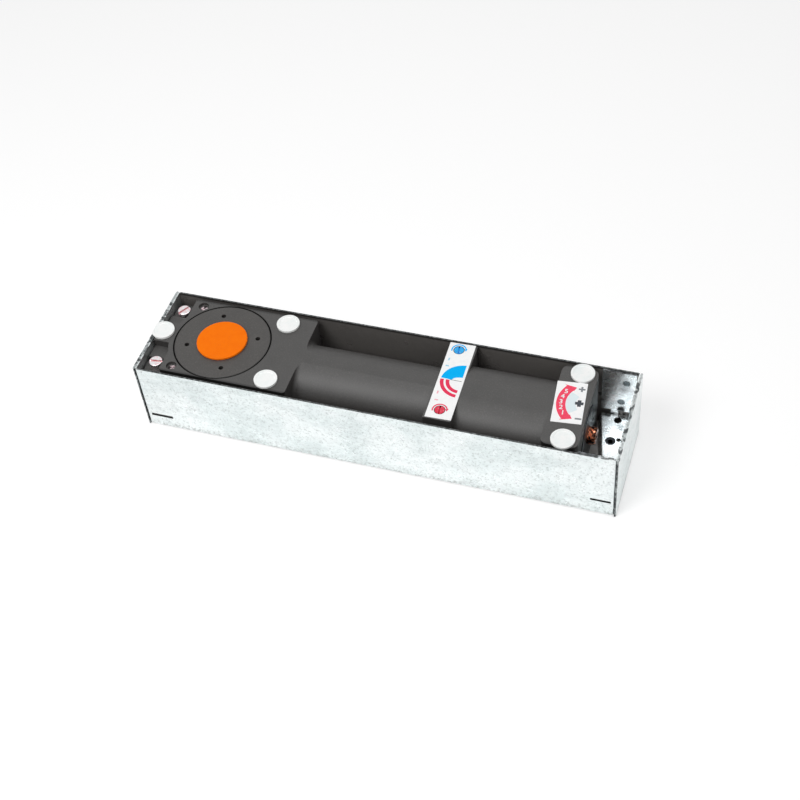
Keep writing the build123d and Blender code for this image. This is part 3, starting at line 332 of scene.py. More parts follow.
# Painted shade on the foot under the casting: darker and less metallic, broken up by noise, on the flat plate
# only.
foot_shade_breakup = spread(bracket, cloud(bracket, bend, 0.004, 4.0, 0.6), 0.35, 0.65, 0.75, 1.0)
x, y, z = split(bracket, point(bracket))
flat_only = spread(bracket, z, PLATE_TOP, PLATE_TOP + 0.001, 1.0, 0.0)
foot_shade = times(bracket, times(bracket, spread(bracket, beyond, FOOT_SHADE_FULL, FOOT_SHADE_END, 1.0, 0.0), foot_shade_breakup), flat_only)
colour = between(bracket, foot_shade, colour, paint(150, 143, 139))
wire(bracket, shader, Metallic=spread(bracket, foot_shade, 0.0, 1.0, 1.0, 0.2))

upright = add(bracket, "CombineXYZ", None, X=x, Z=z).outputs[0]
on_flange = spread(bracket, absolute(bracket, y), high.y - 0.002, high.y - 0.0018, 0.0, 1.0)
frayed = times(bracket, cloud(bracket, upright, 0.0015, 3.0, 0.6), 0.0012)
for weld_x, weld_z in WELD_PLACES:
    away = add(bracket, "Math", {"operation": "ADD"}, _0=distance(bracket, upright, (weld_x, 0, weld_z)),
               _1=frayed).outputs[0]
    weld = times(bracket, spread(bracket, away, WELD_FULL, WELD_END, 0.9, 0.0), on_flange)
    colour = between(bracket, weld, colour, paint(88, 100, 104))
# Painted shade along the bend between the plate and the flange, broken up in patches.
bend_shade = times(bracket, on_flange, spread(bracket, z, PLATE_TOP + 0.0011, PLATE_TOP + 0.0026, 1.0, 0.0))
patchy = spread(bracket, cloud(bracket, upright, 0.003, 3.0, 0.6), 0.4, 0.5, 0.1, 0.9)
colour = between(bracket, times(bracket, bend_shade, patchy), colour, paint(50, 50, 50))
finishes["bracket_sheet"] = wire_zinc(bracket, shader, colour, patterns, BRACKET_GLOSS)
print("the bracket's flanges end at z =", round(high.z * 1000, 1), "mm")

# %% [markdown]
# The closer's body is cast iron under a thin coat of dark grey paint. The paint keeps the grain of the
# sand mould, so the surface is finely pitted, a little uneven in tone and duller in its hollows. The grain
# is far too fine to model, so two sizes of noise bump it, and the mould's shape itself is in the solid.
# Upright faces are painted darker as shade, the share coming from the face's direction. A nearly black
# painted shade fills the ring between the turned cover and the body, and lies along the edges next to the
# walls.

# %% Painted casting
WALL_SHADE_STARTS, WALL_SHADE_IS_FULL = 0.0062, 0.0043
TURNING_PITCH = 0.0005
GROOVE_OUTSIDE_COVER = 0.0003
low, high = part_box("protective_cap")
spindle_x = (low.x + high.x) / 2
low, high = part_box("bearing_cover")
groove_r = (high.x - low.x) / 2 + GROOVE_OUTSIDE_COVER


def cast_paint(name, tone, grain, rings=0.0):
    """Paint on a casting, with bumps as high as the grain says. Rings is the pitch of turned grooves."""
    finish, shader = new_finish(name, rough=0.62)
    shader.inputs["Specular IOR Level"].default_value = 0.6
    where = point(finish)
    patches = cloud(finish, where, 0.012, 3.0, 0.55)
    sand = cloud(finish, where, 0.0009, 4.0, 0.7)
    pits = add(finish, "TexVoronoi", {"feature": "F1"}, Vector=where, Scale=700.0).outputs["Distance"]
    darker = tuple(channel * 0.84 for channel in tone[:3]) + (1,)
    colour = between(finish, spread(finish, patches, 0.3, 0.7, 0.0, 1.0), tone, darker)
    colour = between(finish, spread(finish, sand, 0.5, 0.75, 0.0, 0.22), colour, paint(140, 137, 134))
    # Painted shade: upright faces are darker than those that face up.
    facing = split(finish, add(finish, "NewGeometry").outputs["Normal"])["Z"]
    upright = spread(finish, facing, 0.1, 0.9, 0.9, 0.0, smooth=True)
    colour = between(finish, upright, colour, paint(52, 50, 49))
    # Painted shade, nearly black, on the casting's edges next to the box walls.
    side = absolute(finish, split(finish, where)["Y"])
    shade_beside_wall = spread(finish, side, wall_y - WALL_SHADE_STARTS, wall_y - WALL_SHADE_IS_FULL, 0.0, 0.97, smooth=True)
    colour = between(finish, shade_beside_wall, colour, paint(12, 11, 11))
    # Painted shade in the ring-shaped groove between the turned cover and the body.
    flat = add(finish, "VectorMath", {"operation": "MULTIPLY"}, _0=where, _1=(1, 1, 0)).outputs["Vector"]
    away = distance(finish, flat, (spindle_x, 0, 0))
    ring = band(finish, away, groove_r - 0.001, groove_r - 0.0006, groove_r + 0.0007, groove_r + 0.0011)
    shade_in_ring = times(finish, ring, spread(finish, patches, 0.3, 0.6, 0.95, 0.6))
    colour = between(finish, shade_in_ring, colour, paint(24, 23, 22))
    bumps = relief(finish, sand, 0.00006 * grain, 0.7)
    bumps = relief(finish, pits, 0.00005 * grain, 0.35, bumps)
    if rings:
        turned = add(finish, "TexWave", {"wave_type": "RINGS", "rings_direction": "Z"},
                     Vector=point(finish, centre=(spindle_x, 0, 0)), Scale=wave_scale(rings),
                     Distortion=0.25, Detail=1.0).outputs["Fac"]
        bumps = relief(finish, turned, 0.00001, 0.25, bumps)
    return wire(finish, shader, Base_Color=colour, Roughness=spread(finish, sand, 0.3, 0.7, 0.44, 0.6),
                Normal=bumps)


finishes["body_casting"] = cast_paint("painted_iron_casting", paint(63, 62, 61), 1.0)
finishes["cover_casting"] = cast_paint("painted_turned_cover", paint(60, 58, 56), 0.55, rings=TURNING_PITCH)
print("the cover is turned about x =", round(spindle_x * 1000, 1), "mm")

# %% [markdown]
# The cap over the spindle and the five discs that close the tapped holes are moulded plastic. Moulded
# plastic takes the fine spark-eroded texture of its tool and scatters a little light below the surface.
# Subsurface scattering would show that, but at this size a soft roughness with little gloss looks the same
# and renders faster.

# %% Moulded plastic
def plastic(name, tone, shade, rough, grain):
    """Soft patches of two near tones, a few dark specks, and bumps as high as the grain says."""
    finish, shader = new_finish(name, rough)
    shader.inputs["IOR"].default_value = 1.49
    shader.inputs["Specular IOR Level"].default_value = 0.12
    where = point(finish)
    eroded = cloud(finish, where, 0.0005, 3.0, 0.6)
    patches = cloud(finish, where, 0.006, 3.0, 0.6)
    colour = between(finish, spread(finish, patches, 0.35, 0.7, 0.0, 1.0), tone, shade)
    specks = cloud(finish, where, 0.0007, 2.0, 0.5)
    colour = between(finish, spread(finish, specks, 0.70, 0.74, 0.0, 0.35), colour, paint(120, 105, 95))
    return wire(finish, shader, Base_Color=colour, Normal=relief(finish, eroded, 0.00002 * grain, 0.5),
                Roughness=spread(finish, patches, 0.3, 0.7, rough - 0.06, rough + 0.08))


finishes["orange_plastic"] = plastic("orange_moulded_plastic", paint(255, 122, 0), paint(252, 116, 0),
                                     0.5, 1.0)
finishes["white_plastic"] = plastic("white_moulded_plastic", paint(255, 255, 254), paint(244, 249, 248),
                                    0.48, 1.4)
print("plastic finishes:", [name for name in finishes if "plastic" in name])

# %% [markdown]
# Screws, shafts and rings are metals that differ in how they were made. A turned or ground part has fine
# marks across its axis, a plated screw has a cloudy, slightly pink film, and spring wire is dark and oily.
# One function makes them all: a base tone, a second tone in clouds, and marks with a given pitch along one
# axis. The film's pink comes from the passivation bath.

# %% Metals
def metal(name, tone, second, rough, lay=0.0003, axis="X", cloudy=0.5, patch=0.004, edge=(0.4, 0.68)):
    """The second tone lies in clouds, which start and end at the two edge values of the noise."""
    finish, shader = new_finish(name, rough, metal=1.0)
    where = point(finish)
    clouds = cloud(finish, where, patch, 3.0, 0.6)
    marks = add(finish, "TexWave", {"wave_type": "BANDS", "bands_direction": axis}, Vector=where,
                Scale=wave_scale(lay), Distortion=2.0, Detail=2.0).outputs["Fac"]
    colour = between(finish, spread(finish, clouds, *edge, 0.0, cloudy), tone, second)
    return wire(finish, shader, Base_Color=colour, Normal=relief(finish, marks, 0.000008, 0.4),
                Roughness=spread(finish, clouds, 0.3, 0.7, rough - 0.08, rough + 0.12))


finishes["bearing_steel"] = metal("ground_bearing_steel", paint(205, 207, 210), paint(180, 184, 190), 0.18,
                                  lay=0.0002, axis="Z", cloudy=0.3)
finishes["machined_steel"] = metal("turned_steel", paint(176, 178, 180), paint(140, 143, 148), 0.32,
                                   axis="Z")
finishes["spring_steel"] = metal("oiled_spring_steel", paint(74, 76, 82), paint(48, 52, 66), 0.36)
# The adjusting screw lies in shade past the end plug: its copper is painted mostly dark as shade, leaving
# small bright spots as painted glints.
finishes["copper_plate"] = metal("copper_with_painted_shade_and_glints", paint(255, 160, 120), paint(46, 36, 34), 0.3,
                                 cloudy=0.97, patch=0.0018, edge=(0.42, 0.52))
finishes["bronze"] = metal("bearing_bronze", paint(190, 148, 92), paint(150, 108, 62), 0.34)
finishes["screw_zinc"] = metal("passivated_zinc_screw", paint(226, 228, 230), paint(224, 190, 196), 0.27,
                               lay=0.0005, axis="Z", cloudy=0.8, patch=0.0022)
black_steel = metal("blackened_socket_screw", paint(58, 60, 64), paint(36, 38, 42), 0.4)
# The bleed screws lie in recesses: their plated tone is painted dark in broad patches as shade.
shaded_bleed_steel = metal("bleed_screw_with_painted_shade", paint(230, 212, 216), paint(40, 38, 38), 0.3, axis="Z", cloudy=0.95,
                    patch=0.0018, edge=(0.42, 0.54))
print("finishes so far:", len(finishes))

# %% [markdown]
# The two clamp screws are sealed after the closer has been set: a dab of red lacquer lies in the slot. The
# solid of the screw has the slot, so the lacquer needs only the height of a point below the head's top and
# its distance from the screw's axis. The two screws stand on both sides of the middle line, so the absolute
# value of y serves both, and a little noise frays the edge of the dab.

# %% Screws with lacquer in the slot
HEAD_RADIUS, SLOT_DEPTH = 0.0048, 0.0016


def slot_lacquer(name, head):
    """Cloudy plating, and lacquer near the axis of the head wherever a point is as low as the slot."""
    finish, shader = new_finish(name, rough=0.3)
    where = point(finish)
    clouds = cloud(finish, where, 0.0021, 3.0, 0.6)
    frayed = cloud(finish, where, 0.0008, 3.0, 0.6)
    x, y, z = split(finish, where)
    flat = add(finish, "CombineXYZ", None, X=x, Y=absolute(finish, y)).outputs[0]
    inside = spread(finish, distance(finish, flat, (head.x, head.y, 0)), HEAD_RADIUS * 0.8, HEAD_RADIUS * 0.9,
                    1.0, 0.0)
    edge = add(finish, "Math", {"operation": "MULTIPLY_ADD"}, _0=frayed, _1=0.0009, _2=z).outputs[0]
    slot_floor = head.z - SLOT_DEPTH
    dab = times(finish, inside, spread(finish, edge, slot_floor + 0.0001, slot_floor + 0.0009, 1.0, 0.0))
    bare = add(finish, "Math", {"operation": "SUBTRACT"}, _0=1.0, _1=dab).outputs[0]
    plated = between(finish, spread(finish, clouds, 0.42, 0.64, 0.0, 0.85), paint(228, 229, 230),
                     paint(226, 186, 192))
    return wire(finish, shader, Base_Color=between(finish, dab, plated, paint(206, 60, 52)),
                Metallic=bare, Roughness=spread(finish, clouds, 0.3, 0.7, 0.22, 0.4),
                Normal=relief(finish, frayed, 0.00002, 0.4))


low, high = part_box("clamp_screws")
head_top = Vector(((low.x + high.x) / 2, high.y - HEAD_RADIUS, high.z))
lacquered = slot_lacquer("plated_screw_with_red_lacquer", head_top)
print("clamp screw heads end at z =", round(high.z * 1000, 1), "mm")

# %% [markdown]
# Seals are nitrile rubber, matt and nearly black. The labels are white film with a satin face that picks
# up a little dust, and each speed valve has a dab of the paint that its label refers to, worn through to
# metal along the edges of its slot. The solids come with the names of their materials, so one loop can
# exchange each name for its finish, and four kinds of screw then get one of their own.

# %% Rubber, label film and valve paint
def rubber(name):
    """Nearly black, with a paler bloom in patches and a fine skin."""
    finish, shader = new_finish(name, rough=0.68)
    where = point(finish)
    bloom = cloud(finish, where, 0.003, 4.0, 0.6)
    skin = cloud(finish, where, 0.0004, 3.0, 0.6)
    colour = between(finish, spread(finish, bloom, 0.45, 0.7, 0, 1), paint(34, 34, 35), paint(58, 57, 55))
    return wire(finish, shader, Base_Color=colour, Normal=relief(finish, skin, 0.00002, 0.5),
                Roughness=spread(finish, bloom, 0.3, 0.7, 0.6, 0.78))


def film(name, tone, shade):
    """A clean tone with the shade where dust lies, over fibres that run along y."""
    finish, shader = new_finish(name, rough=0.4)
    where = point(finish)
    dust = cloud(finish, where, 0.0035, 4.0, 0.65)
    fibres = cloud(finish, point(finish, stretch=(1, 3, 1)), 0.0004, 3.0, 0.6)
    colour = between(finish, spread(finish, dust, 0.45, 0.75, 0.0, 1.0), tone, shade)
    return wire(finish, shader, Base_Color=colour, Normal=relief(finish, fibres, 0.00001, 0.4),
                Roughness=spread(finish, dust, 0.3, 0.7, 0.34, 0.5))


def worn_paint(name, tone, shade):
    """Paint of two near tones that is worn through to bare metal in small spots."""
    finish, shader = new_finish(name, rough=0.36)
    where = point(finish)
    wear = cloud(finish, where, 0.0009, 4.0, 0.7)
    bare = spread(finish, wear, 0.62, 0.66, 0.0, 1.0)
    coat = between(finish, spread(finish, cloud(finish, where, 0.002, 3.0, 0.6), 0.35, 0.65, 0, 1), tone,
                   shade)
    return wire(finish, shader, Base_Color=between(finish, bare, coat, paint(205, 210, 214)), Metallic=bare,
                Normal=relief(finish, wear, 0.00004, 0.5), Roughness=spread(finish, wear, 0.3, 0.7, 0.3, 0.5))


finishes["seal_rubber"] = rubber("nitrile_rubber")
finishes["label_sheet"] = film("white_label_film", paint(255, 255, 255), paint(246, 248, 249))
finishes["closing_paint"] = worn_paint("blue_valve_paint", paint(30, 180, 246), paint(24, 158, 232))
finishes["latch_paint"] = worn_paint("red_valve_paint", paint(236, 54, 84), paint(214, 36, 68))

for node in nodes.values():
    for place in node.material_slots:
        place.material = finishes[place.material.name]
for name, finish in (("clamp_screws", lacquered), ("levelling_screws", black_steel),
                     ("end_plug", black_steel), ("bleed_screws", shaded_bleed_steel)):
    for place in nodes[name].material_slots:
        place.material = finish
print("finishes given to", len(nodes), "solids")

# %% [markdown]
# The prints on the labels are ink, yet they are made as real plates a few hundredths of a millimetre thick,
# so that they stay sharp from near by and go with the mesh when it leaves Blender. Every ink shape is the
# area between two edge lines, such as the inner and the outer arc of a ring. A function of two parameters
# fits that: one runs along the edges and the other from edge to edge.

# %% Closed plates
MM = 0.001
INK_THICKNESS = 0.04
ink_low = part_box("speed_label")[1].z / MM
ink_high = ink_low + INK_THICKNESS


def bar_of(rings):
    """A closed bar through a row of four-cornered outlines, an array of n by 4 by 3: point 4 i + j is corner
    j of outline i, each side joins it to its three neighbours, and the first and last outline are caps."""
    count = len(rings)
    i, j = np.meshgrid(np.arange(count - 1), np.arange(4), indexing="ij")
    a, b = i * 4 + j, i * 4 + (j + 1) % 4
    faces = np.stack([a, b, b + 4, a + 4], axis=-1).reshape(-1, 4)
    last = (count - 1) * 4
    caps = np.array([[3, 2, 1, 0], [last, last + 1, last + 2, last + 3]])
    return rings.reshape(-1, 3), np.vstack([faces, caps])


def strip(inner, outer):
    """A closed plate of ink between two edge lines of n points, in millimetres. Along the strip go the
    points, across it goes the outline inner-low, inner-high, outer-high, outer-low."""
    outline = ((inner, ink_low), (inner, ink_high), (outer, ink_high), (outer, ink_low))
    return bar_of(np.stack([np.column_stack([edge, np.full(len(edge), z)]) for edge, z in outline], axis=1))


def outward(points, faces):
    """Turns all faces round when the volume that they close comes out negative."""
    corner = points[faces]
    volume = sum(np.einsum("ij,ij->i", corner[:, 0], np.cross(corner[:, k], corner[:, k + 1])).sum()
                 for k in (1, 2))
    return faces if volume > 0 else faces[:, ::-1]


def new_object(name, data):
    """An object that holds this data, linked into the scene."""
    made = bpy.data.objects.new(name, data)
    bpy.context.scene.collection.objects.link(made)
    return made


def make_piece(name, parts, finish, body):
    """One flat-shaded object from several closed meshes in millimetres, placed in its mesh and riding on a
    body."""
    points, faces, start = [], [], 0
    for part_points, part_faces in parts:
        points.append(part_points * MM)
        faces.append(outward(part_points, part_faces) + start)
        start += len(part_points)
    mesh = bpy.data.meshes.new(name)
    mesh.from_pydata(np.vstack(points).tolist(), [], np.vstack(faces).tolist())
    mesh.materials.append(finish)
    mesh.update()
    piece = new_object(name, mesh)
    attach(piece, body)
    print(name, len(mesh.vertices), "points")


print("ink lies on z =", round(ink_low, 2), "mm")

# %% [markdown]
# Rings, bars and arrowheads are enough for both labels. The ring lies between two arcs, the bar between two
# straight edges, and the arrowhead between two edges that meet in a tip. The ink itself is matt, and the
# fine screen of the print shows in it as soft dots of a second tone.

# %% Ink shapes and inks
def arc(centre, radius, start, end, count=40):
    """Points on a circle round the centre, from one angle in degrees to another. Two radii make an oval."""
    angle = np.radians(np.linspace(start, end, count))
    return centre + np.array(radius) * np.column_stack([np.cos(angle), np.sin(angle)])


def on_circle(centre, radius, angle):
    """One point on a circle, at an angle in degrees."""
    return arc(centre, radius, angle, angle, 1)[0]


def ink_ring(centre, inner, outer, start, end):
    """A part of a ring: the area between two arcs."""
    return strip(arc(centre, inner, start, end), arc(centre, outer, start, end))


def ink_bar(centre, length, width, turn=0.0):
    """A bar: the area between two straight edges."""
    along = np.array([math.cos(math.radians(turn)), math.sin(math.radians(turn))])
    across = np.array([-along[1], along[0]]) * width / 2
    ends = np.array([centre - along * length / 2, centre + along * length / 2])
    return strip(ends - across, ends + across)


def ink_wedge(base_a, base_b, tip):
    """An arrowhead: both edges run from the base nearly to one tip, which is left a fiftieth of the base
    wide."""
    share = np.linspace(0, 0.98, 6)[:, None]
    return strip(base_a + (tip - base_a) * share, base_b + (tip - base_b) * share)


def ink_cross(middle, length, width):
    """A cross from one long bar and two short arms beside it, so that no two plates overlap."""
    arm = (length - width) / 2
    aside = np.array([(arm + width) / 2, 0])
    return [ink_bar(middle, length, width, 90), ink_bar(middle - aside, arm, width),
            ink_bar(middle + aside, arm, width)]


def ink(name, tone, shade):
    """Matt ink of two near tones."""
    finish, shader = new_finish(name, rough=0.5)
    shader.inputs["Specular IOR Level"].default_value = 0.1
    where = point(finish)
    screen = cloud(finish, where, 0.0006, 3.0, 0.6)
    colour = between(finish, spread(finish, screen, 0.4, 0.7, 0, 1), tone, shade)
    return wire(finish, shader, Base_Color=colour, Normal=relief(finish, screen, 0.00001, 0.4),
                Roughness=spread(finish, screen, 0.3, 0.7, 0.36, 0.5))


blue_ink = ink("blue_ink", paint(0, 186, 255), paint(0, 178, 250))
red_ink = ink("red_ink", paint(240, 66, 100), paint(228, 52, 88))
grey_ink = ink("grey_ink", paint(84, 88, 94), paint(66, 70, 76))
light_grey_ink = ink("light_grey_ink", paint(142, 146, 150), paint(120, 124, 128))
pale_blue_ink = ink("pale_blue_ink", paint(176, 222, 240), paint(160, 212, 234))
pale_red_ink = ink("pale_red_ink", paint(250, 190, 200), paint(246, 178, 190))
pale_cyan_ink = ink("pale_cyan_ink", paint(234, 246, 249), paint(228, 242, 246))
pink_ink = ink("pink_red_ink", paint(252, 84, 112), paint(244, 72, 102))
white_ink = ink("white_ink", paint(250, 250, 250), paint(240, 242, 244))
print("inks:", sum(material.name.endswith("ink") for material in bpy.data.materials))

# %% [markdown]
# The speed label says which valve does what. The upper valve governs how fast the door swings shut, drawn
# as a broad blue sector, and the lower one governs the last few degrees, drawn as two red arcs. Each valve
# has a curved arrow round it. The two drawings share one centre on the label's right edge, the hinge of the
# door in the picture. All places are in millimetres on the part.

# %% Prints of the speed label
ARROW_RADIUS, ARROW_WIDTH = 4.9, 0.9
ARROW_START, ARROW_END = 200, 20
HEAD_HALF_WIDTH, HEAD_LENGTH = 1.1, 2.1
HINGE = np.array([54.6, 3.4])
DOOR_LENGTH, DOOR_WIDTH = 8.2, 0.35
SECTOR_INNER, SECTOR_OUTER = (6.8, 3.4), 14.6
SECTOR_START, SECTOR_END = 92, 178
ARC_RADII, ARC_WIDTH = (12.2, 8.3), 2.5
ARC_START, ARC_END = 182, 268
UPPER_MARKS = np.array([[40.6, 21.3], [41.1, 15.2]])
LOWER_MARKS = np.array([[41.6, -9.4], [42.6, -16.0]])
UPRIGHT_MARK, LEVEL_MARK, MARK_WIDTH = 2.6, 2.4, 1.1


def valve_centre(node):
    """The middle of a valve's head, in millimetres."""
    low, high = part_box(node)
    return np.array([(low.x + high.x) / 2, (low.y + high.y) / 2]) / MM


def turning_arrow(centre):
    """An arc that runs clockwise, with an arrowhead at its end that points on along the circle."""
    half = ARROW_WIDTH / 2
    tip = on_circle(centre, ARROW_RADIUS, ARROW_END - math.degrees(HEAD_LENGTH / ARROW_RADIUS))
    return [ink_ring(centre, ARROW_RADIUS - half, ARROW_RADIUS + half, ARROW_START, ARROW_END),
            ink_wedge(on_circle(centre, ARROW_RADIUS - HEAD_HALF_WIDTH, ARROW_END),
                      on_circle(centre, ARROW_RADIUS + HEAD_HALF_WIDTH, ARROW_END), tip)]


sector = [ink_ring(HINGE, SECTOR_INNER, SECTOR_OUTER, SECTOR_START, SECTOR_END)]
make_piece("closing_speed_print", sector + turning_arrow(valve_centre("closing_valve_screw")), blue_ink,
           "case")
arcs = [ink_ring(HINGE, radius, radius + ARC_WIDTH, ARC_START, ARC_END) for radius in ARC_RADII]
make_piece("latching_speed_print", arcs + turning_arrow(valve_centre("latch_valve_screw")), red_ink,
           "case")
door_line = ink_bar(HINGE - [DOOR_LENGTH / 2, 0], DOOR_LENGTH, DOOR_WIDTH)
make_piece("door_line_print", [door_line], grey_ink, "case")
for name, finish, (upright_at, level_at) in (("faster_marks_print", pale_blue_ink, UPPER_MARKS),
                                             ("slower_marks_print", pale_red_ink, LOWER_MARKS)):
    pair = [ink_bar(upright_at, UPRIGHT_MARK, MARK_WIDTH, 90), ink_bar(level_at, LEVEL_MARK, MARK_WIDTH)]
    make_piece(name, pair, finish, "case")

# %% [markdown]
# The force label is a dial for the spring: a red arc with a head at each end and five plain numbers, next
# to the cross-slotted symbol of the screw that sets it, with a plus and a minus. Its places are given in
# the label's own millimetres, from its lower left corner, and one turn and one shift put them on the part.

# %% Prints of the force label
LABEL_TURN = math.radians(5.5)
LABEL_SIZE = np.array([20.3, 35.8])
DIAL = np.array([24.6, 17.7])
TINT_HALF, ARC_HALF, TIP_HALF = 34, 39, 51
TINT_RADII, ARC_EDGES, HEAD_EDGES, TIP_RADIUS = (10.2, 16.7), (16.9, 23.1), (16.4, 24.8), 17.6
SCREW_AT, PLUS_AT, MINUS_AT = np.array([[16.7, 17.7], [17.0, 30.2], [17.6, 4.4]])
SCREW_SIZE, SIGN_SIZE = (5.6, 2.4), (4.4, 1.3)
low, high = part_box("force_label")
label_middle = np.array([(low.x + high.x) / 2, (low.y + high.y) / 2]) / MM
label_axes = np.array([[math.cos(LABEL_TURN), -math.sin(LABEL_TURN)],
                       [math.sin(LABEL_TURN), math.cos(LABEL_TURN)]])


def to_part(places):
    """Turns and shifts places from the label's own millimetres to the part's."""
    return (places - LABEL_SIZE / 2) @ label_axes.T + label_middle


def on_label(parts):
    """Puts plates that are given in the label's own millimetres on the part."""
    return [(np.column_stack([to_part(points[:, :2]), points[:, 2]]), faces) for points, faces in parts]


def dial_ring(inner, outer, half_angle):
    """A ring on the dial that reaches equally far to both sides."""
    return ink_ring(DIAL, inner, outer, 180 - half_angle, 180 + half_angle)


def dial_head(side):
    """The arrowhead at one end of the arc, whose tip points on along the dial. The side is -1 or 1."""
    base = [on_circle(DIAL, radius, 180 + side * ARC_HALF) for radius in HEAD_EDGES]
    return ink_wedge(*base, on_circle(DIAL, TIP_RADIUS, 180 + side * TIP_HALF))


make_piece("dial_tint_print", on_label([dial_ring(*TINT_RADII, TINT_HALF)]), pale_cyan_ink, "case")
dial_arc = [dial_ring(*ARC_EDGES, ARC_HALF), dial_head(-1), dial_head(1)]
make_piece("force_dial_print", on_label(dial_arc), pink_ink, "case")
make_piece("slotted_screw_print", on_label(ink_cross(SCREW_AT, *SCREW_SIZE)), grey_ink, "case")
plus_and_minus = ink_cross(PLUS_AT, *SIGN_SIZE) + [ink_bar(MINUS_AT, *SIGN_SIZE)]
make_piece("plus_and_minus_print", on_label(plus_and_minus), light_grey_ink, "case")

# %% [markdown]
# The numbers come from Blender's own font, thickened a little with the curve's offset. A text object is easy
# to edit but can't carry its place in its mesh, so each one is made a mesh first, its sides are welded to its
# faces, and the turn and shift are then written into the points. The numbers lie on top of the dial's ink.

# %% Numbers on the dial
NUMBER_HEIGHT, NUMBER_RADIUS = 5.2, 20.0
NUMBER_ANGLES = (208, 194, 180, 166, 152)
STROKE_OFFSET = 0.1
WELD_DISTANCE = 0.001
half_thickness = INK_THICKNESS / 4


def number(text, place):
    """A number as a mesh: text is filled, given its thickness, and moved to its place on the dial."""
    curve = bpy.data.curves.new("number", "FONT")
    curve.body, curve.size = text, NUMBER_HEIGHT * MM
    curve.align_x, curve.align_y, curve.extrude = "CENTER", "CENTER", half_thickness * MM
    curve.offset = STROKE_OFFSET * MM
    typed = new_object("number", curve)
    bpy.context.view_layer.update()
    mesh = bpy.data.meshes.new_from_object(typed.evaluated_get(bpy.context.evaluated_depsgraph_get()))
    bpy.data.objects.remove(typed)
    welded = bmesh.new()
    welded.from_mesh(mesh)
    bmesh.ops.remove_doubles(welded, verts=welded.verts, dist=WELD_DISTANCE * MM)
    welded.to_mesh(mesh)
    welded.free()
    spot = np.array([*to_part(place), ink_high + half_thickness]) * MM
    mesh.transform(Matrix.Translation(spot.tolist()) @ Matrix.Rotation(LABEL_TURN, 4, "Z"))
    return mesh


for count, angle in enumerate(NUMBER_ANGLES, start=1):
    mesh = number(str(count), on_circle(DIAL, NUMBER_RADIUS, angle))
    mesh.materials.clear()
    mesh.materials.append(white_ink)
    piece = new_object(f"dial_number_{count}_print", mesh)
    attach(piece, "case")
print("numbers 1 to", len(NUMBER_ANGLES), "are on the dial")

# %% [markdown]
# The adjusting screw sticks out of the end plug, copper plated and threaded. A thread is a small trapezium
# carried along a helix: one parameter runs along the helix, the other round the trapezium. The solid has
# the plain shaft, so the thread is laid on it as a ridge and turns with it.

# %% Thread on the adjusting screw
STEPS_PER_TURN = 36
SHAFT_RADIUS, PITCH, THREAD_HEIGHT = 6.0, 1.0, 0.35
ROOT_BELOW_SHAFT = 0.15
ROOT_SHARE, CREST_SHARE = 0.42, 0.06
FADE_ANGLE, LEAST_HEIGHT = 3.0, 0.02
PLUG_GAP, TIP_GAP = 0.3, 0.9


def helix_ridge(start_x, end_x, axis_y, axis_z):
    """A helix about a line along x: at angle t, x = start + pitch / 2 + pitch t / 2 pi, and a trapezium
    stands there, wide at its root. The height fades to nothing over the first and the last half turn."""
    turns = (end_x - start_x - PITCH) / PITCH
    t = np.linspace(0, 2 * np.pi * turns, int(STEPS_PER_TURN * turns) + 1)
    height = np.clip(np.minimum(t, t[-1] - t) / FADE_ANGLE, LEAST_HEIGHT, 1.0) * THREAD_HEIGHT
    x = start_x + PITCH / 2 + PITCH * t / (2 * np.pi)
    root, crest = np.full_like(t, SHAFT_RADIUS - ROOT_BELOW_SHAFT), SHAFT_RADIUS + height
    corners = ((-ROOT_SHARE, root), (-CREST_SHARE, crest), (CREST_SHARE, crest), (ROOT_SHARE, root))
    lines = [np.column_stack([x + share * PITCH, axis_y + r * np.cos(t), axis_z + r * np.sin(t)])
             for share, r in corners]
    return bar_of(np.stack(lines, axis=1))


low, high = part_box("adjusting_screw")
plug_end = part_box("end_plug")[1].x / MM
axis_y, axis_z = (low.y + high.y) / 2 / MM, (low.z + high.z) / 2 / MM
thread = helix_ridge(plug_end + PLUG_GAP, high.x / MM - TIP_GAP, axis_y, axis_z)
make_piece("adjusting_screw_thread", [thread], finishes["copper_plate"], "adjuster")

# %% [markdown]
# The picture was taken from the front right, looking down at the box at about fifty degrees. The camera's
# turn and place were worked out from the corners of the box, so they are given as three directions and a
# point, and the lens as a focal length in pixels of the picture.

# %% Camera
PICTURE_WIDTH, FOCAL_LENGTH = 800, 1451.33
SENSOR_WIDTH = 36
NEAREST, FARTHEST = 0.05, 20
CAMERA_PLACE = [0.26229, -0.61487, 0.78235]
RIGHT = np.array([0.9511, 0.3, -0.0737])
DOWN = np.array([0.1796, -0.731, -0.6583])
AHEAD = np.array([-0.2514, 0.6129, -0.7491])
camera = new_object("camera", bpy.data.cameras.new("camera"))
camera.matrix_world = Matrix(np.vstack([np.column_stack([RIGHT, -DOWN, -AHEAD, CAMERA_PLACE]),
                                        [0, 0, 0, 1]]).tolist())
camera.data.sensor_width = SENSOR_WIDTH
camera.data.lens = FOCAL_LENGTH / PICTURE_WIDTH * SENSOR_WIDTH
camera.data.clip_start, camera.data.clip_end = NEAREST, FARTHEST
bpy.context.scene.camera = camera
print("lens", round(camera.data.lens, 2), "mm, looking down at", round(math.degrees(math.asin(-AHEAD[2]))),
      "degrees")

# %% [markdown]
# Catalogue pictures of hardware are lit by large soft lamps on white. One big lamp at the front left gives
# the box wall its brightness and the barrel its soft highlight, a weak one fills from the right, one above
# lights what faces up, and the world fills the rest.

# %% Lamps
LAMP_AIM = (0, 0, 0.03)


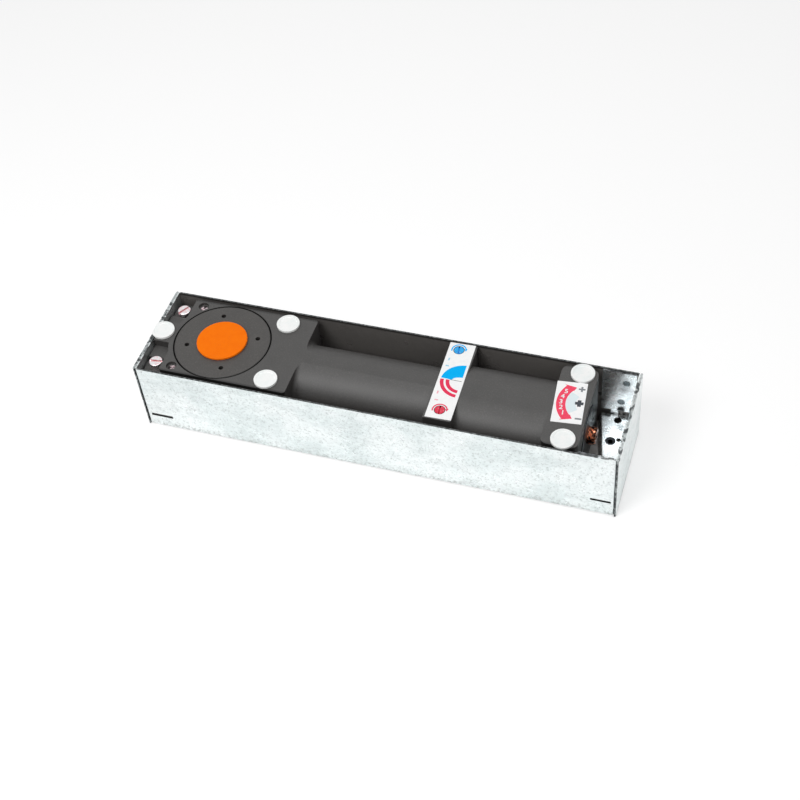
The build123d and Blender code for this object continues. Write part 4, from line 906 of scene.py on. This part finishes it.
def lamp(name, place, size, power):
    """A square area lamp that looks at the aim point."""
    light = new_object(name, bpy.data.lights.new(name, "AREA"))
    light.data.size, light.data.energy = size, power
    light.location = place
    light.rotation_euler = (Vector(LAMP_AIM) - Vector(place)).to_track_quat("-Z", "Y").to_euler()


lamp("key_lamp", (-0.45, -0.75, 1.2), size=0.7, power=10.5)
lamp("fill_lamp", (1.0, -0.6, 0.9), size=0.7, power=1.6)
lamp("top_lamp", (0.1, 0.2, 1.4), size=0.8, power=4.2)

# %% [markdown]
# The background is white, but a white world at full strength would light the part from everywhere and wash
# out its shape. So the world and the floor are at full strength only for the camera and for reflections, and
# much weaker for the rays that carry light to the part. The floor keeps a faint shadow.

# %% World and floor
SKY_LIGHT, SKY_SEEN = 0.3, 1.0
PAPER_GLOW = 0.5
FLOOR_Z, FLOOR_REACH = -0.0003, 4


def seen_directly(owner):
    """1 for camera, glossy and transmission rays, 0 for the rays that carry light to the part."""
    rays = add(owner, "LightPath").outputs
    seen = rays["Is Camera Ray"]
    for kind in ("Is Glossy Ray", "Is Transmission Ray"):
        seen = add(owner, "Math", {"operation": "MAXIMUM"}, _0=seen, _1=rays[kind]).outputs[0]
    return seen


world = bpy.data.worlds.new("studio")
world.use_nodes = True
bpy.context.scene.world = world
sky = world.node_tree.nodes["Background"]
sky.inputs["Color"].default_value = (1, 1, 1, 1)
wire(world, sky, Strength=spread(world, seen_directly(world), 0.0, 1.0, SKY_LIGHT, SKY_SEEN))

floor_mesh = bpy.data.meshes.new("floor")
corners = [(x * FLOOR_REACH, y * FLOOR_REACH, FLOOR_Z) for x, y in ((-1, -1), (1, -1), (1, 1), (-1, 1))]
floor_mesh.from_pydata(corners, [], [(0, 1, 2, 3)])
floor = new_object("floor", floor_mesh)
paper, shader = new_finish("white_paper", rough=0.9)
shader.inputs["Base Color"].default_value = (0.6, 0.6, 0.6, 1)
shader.inputs["Specular IOR Level"].default_value = 0.0
shader.inputs["Emission Color"].default_value = (1, 1, 1, 1)
wire(paper, shader, Emission_Strength=spread(paper, seen_directly(paper), 0.0, 1.0, 0.0, PAPER_GLOW))
floor_mesh.materials.append(paper)
print("the floor reaches", 2 * FLOOR_REACH, "m and lies at z =", FLOOR_Z * 1000, "mm")

# %% [markdown]
# The Standard view shows each colour as it was given, while Blender's default one would turn the white paper
# grey.

# %% Colour
bpy.context.scene.view_settings.view_transform = "Standard"
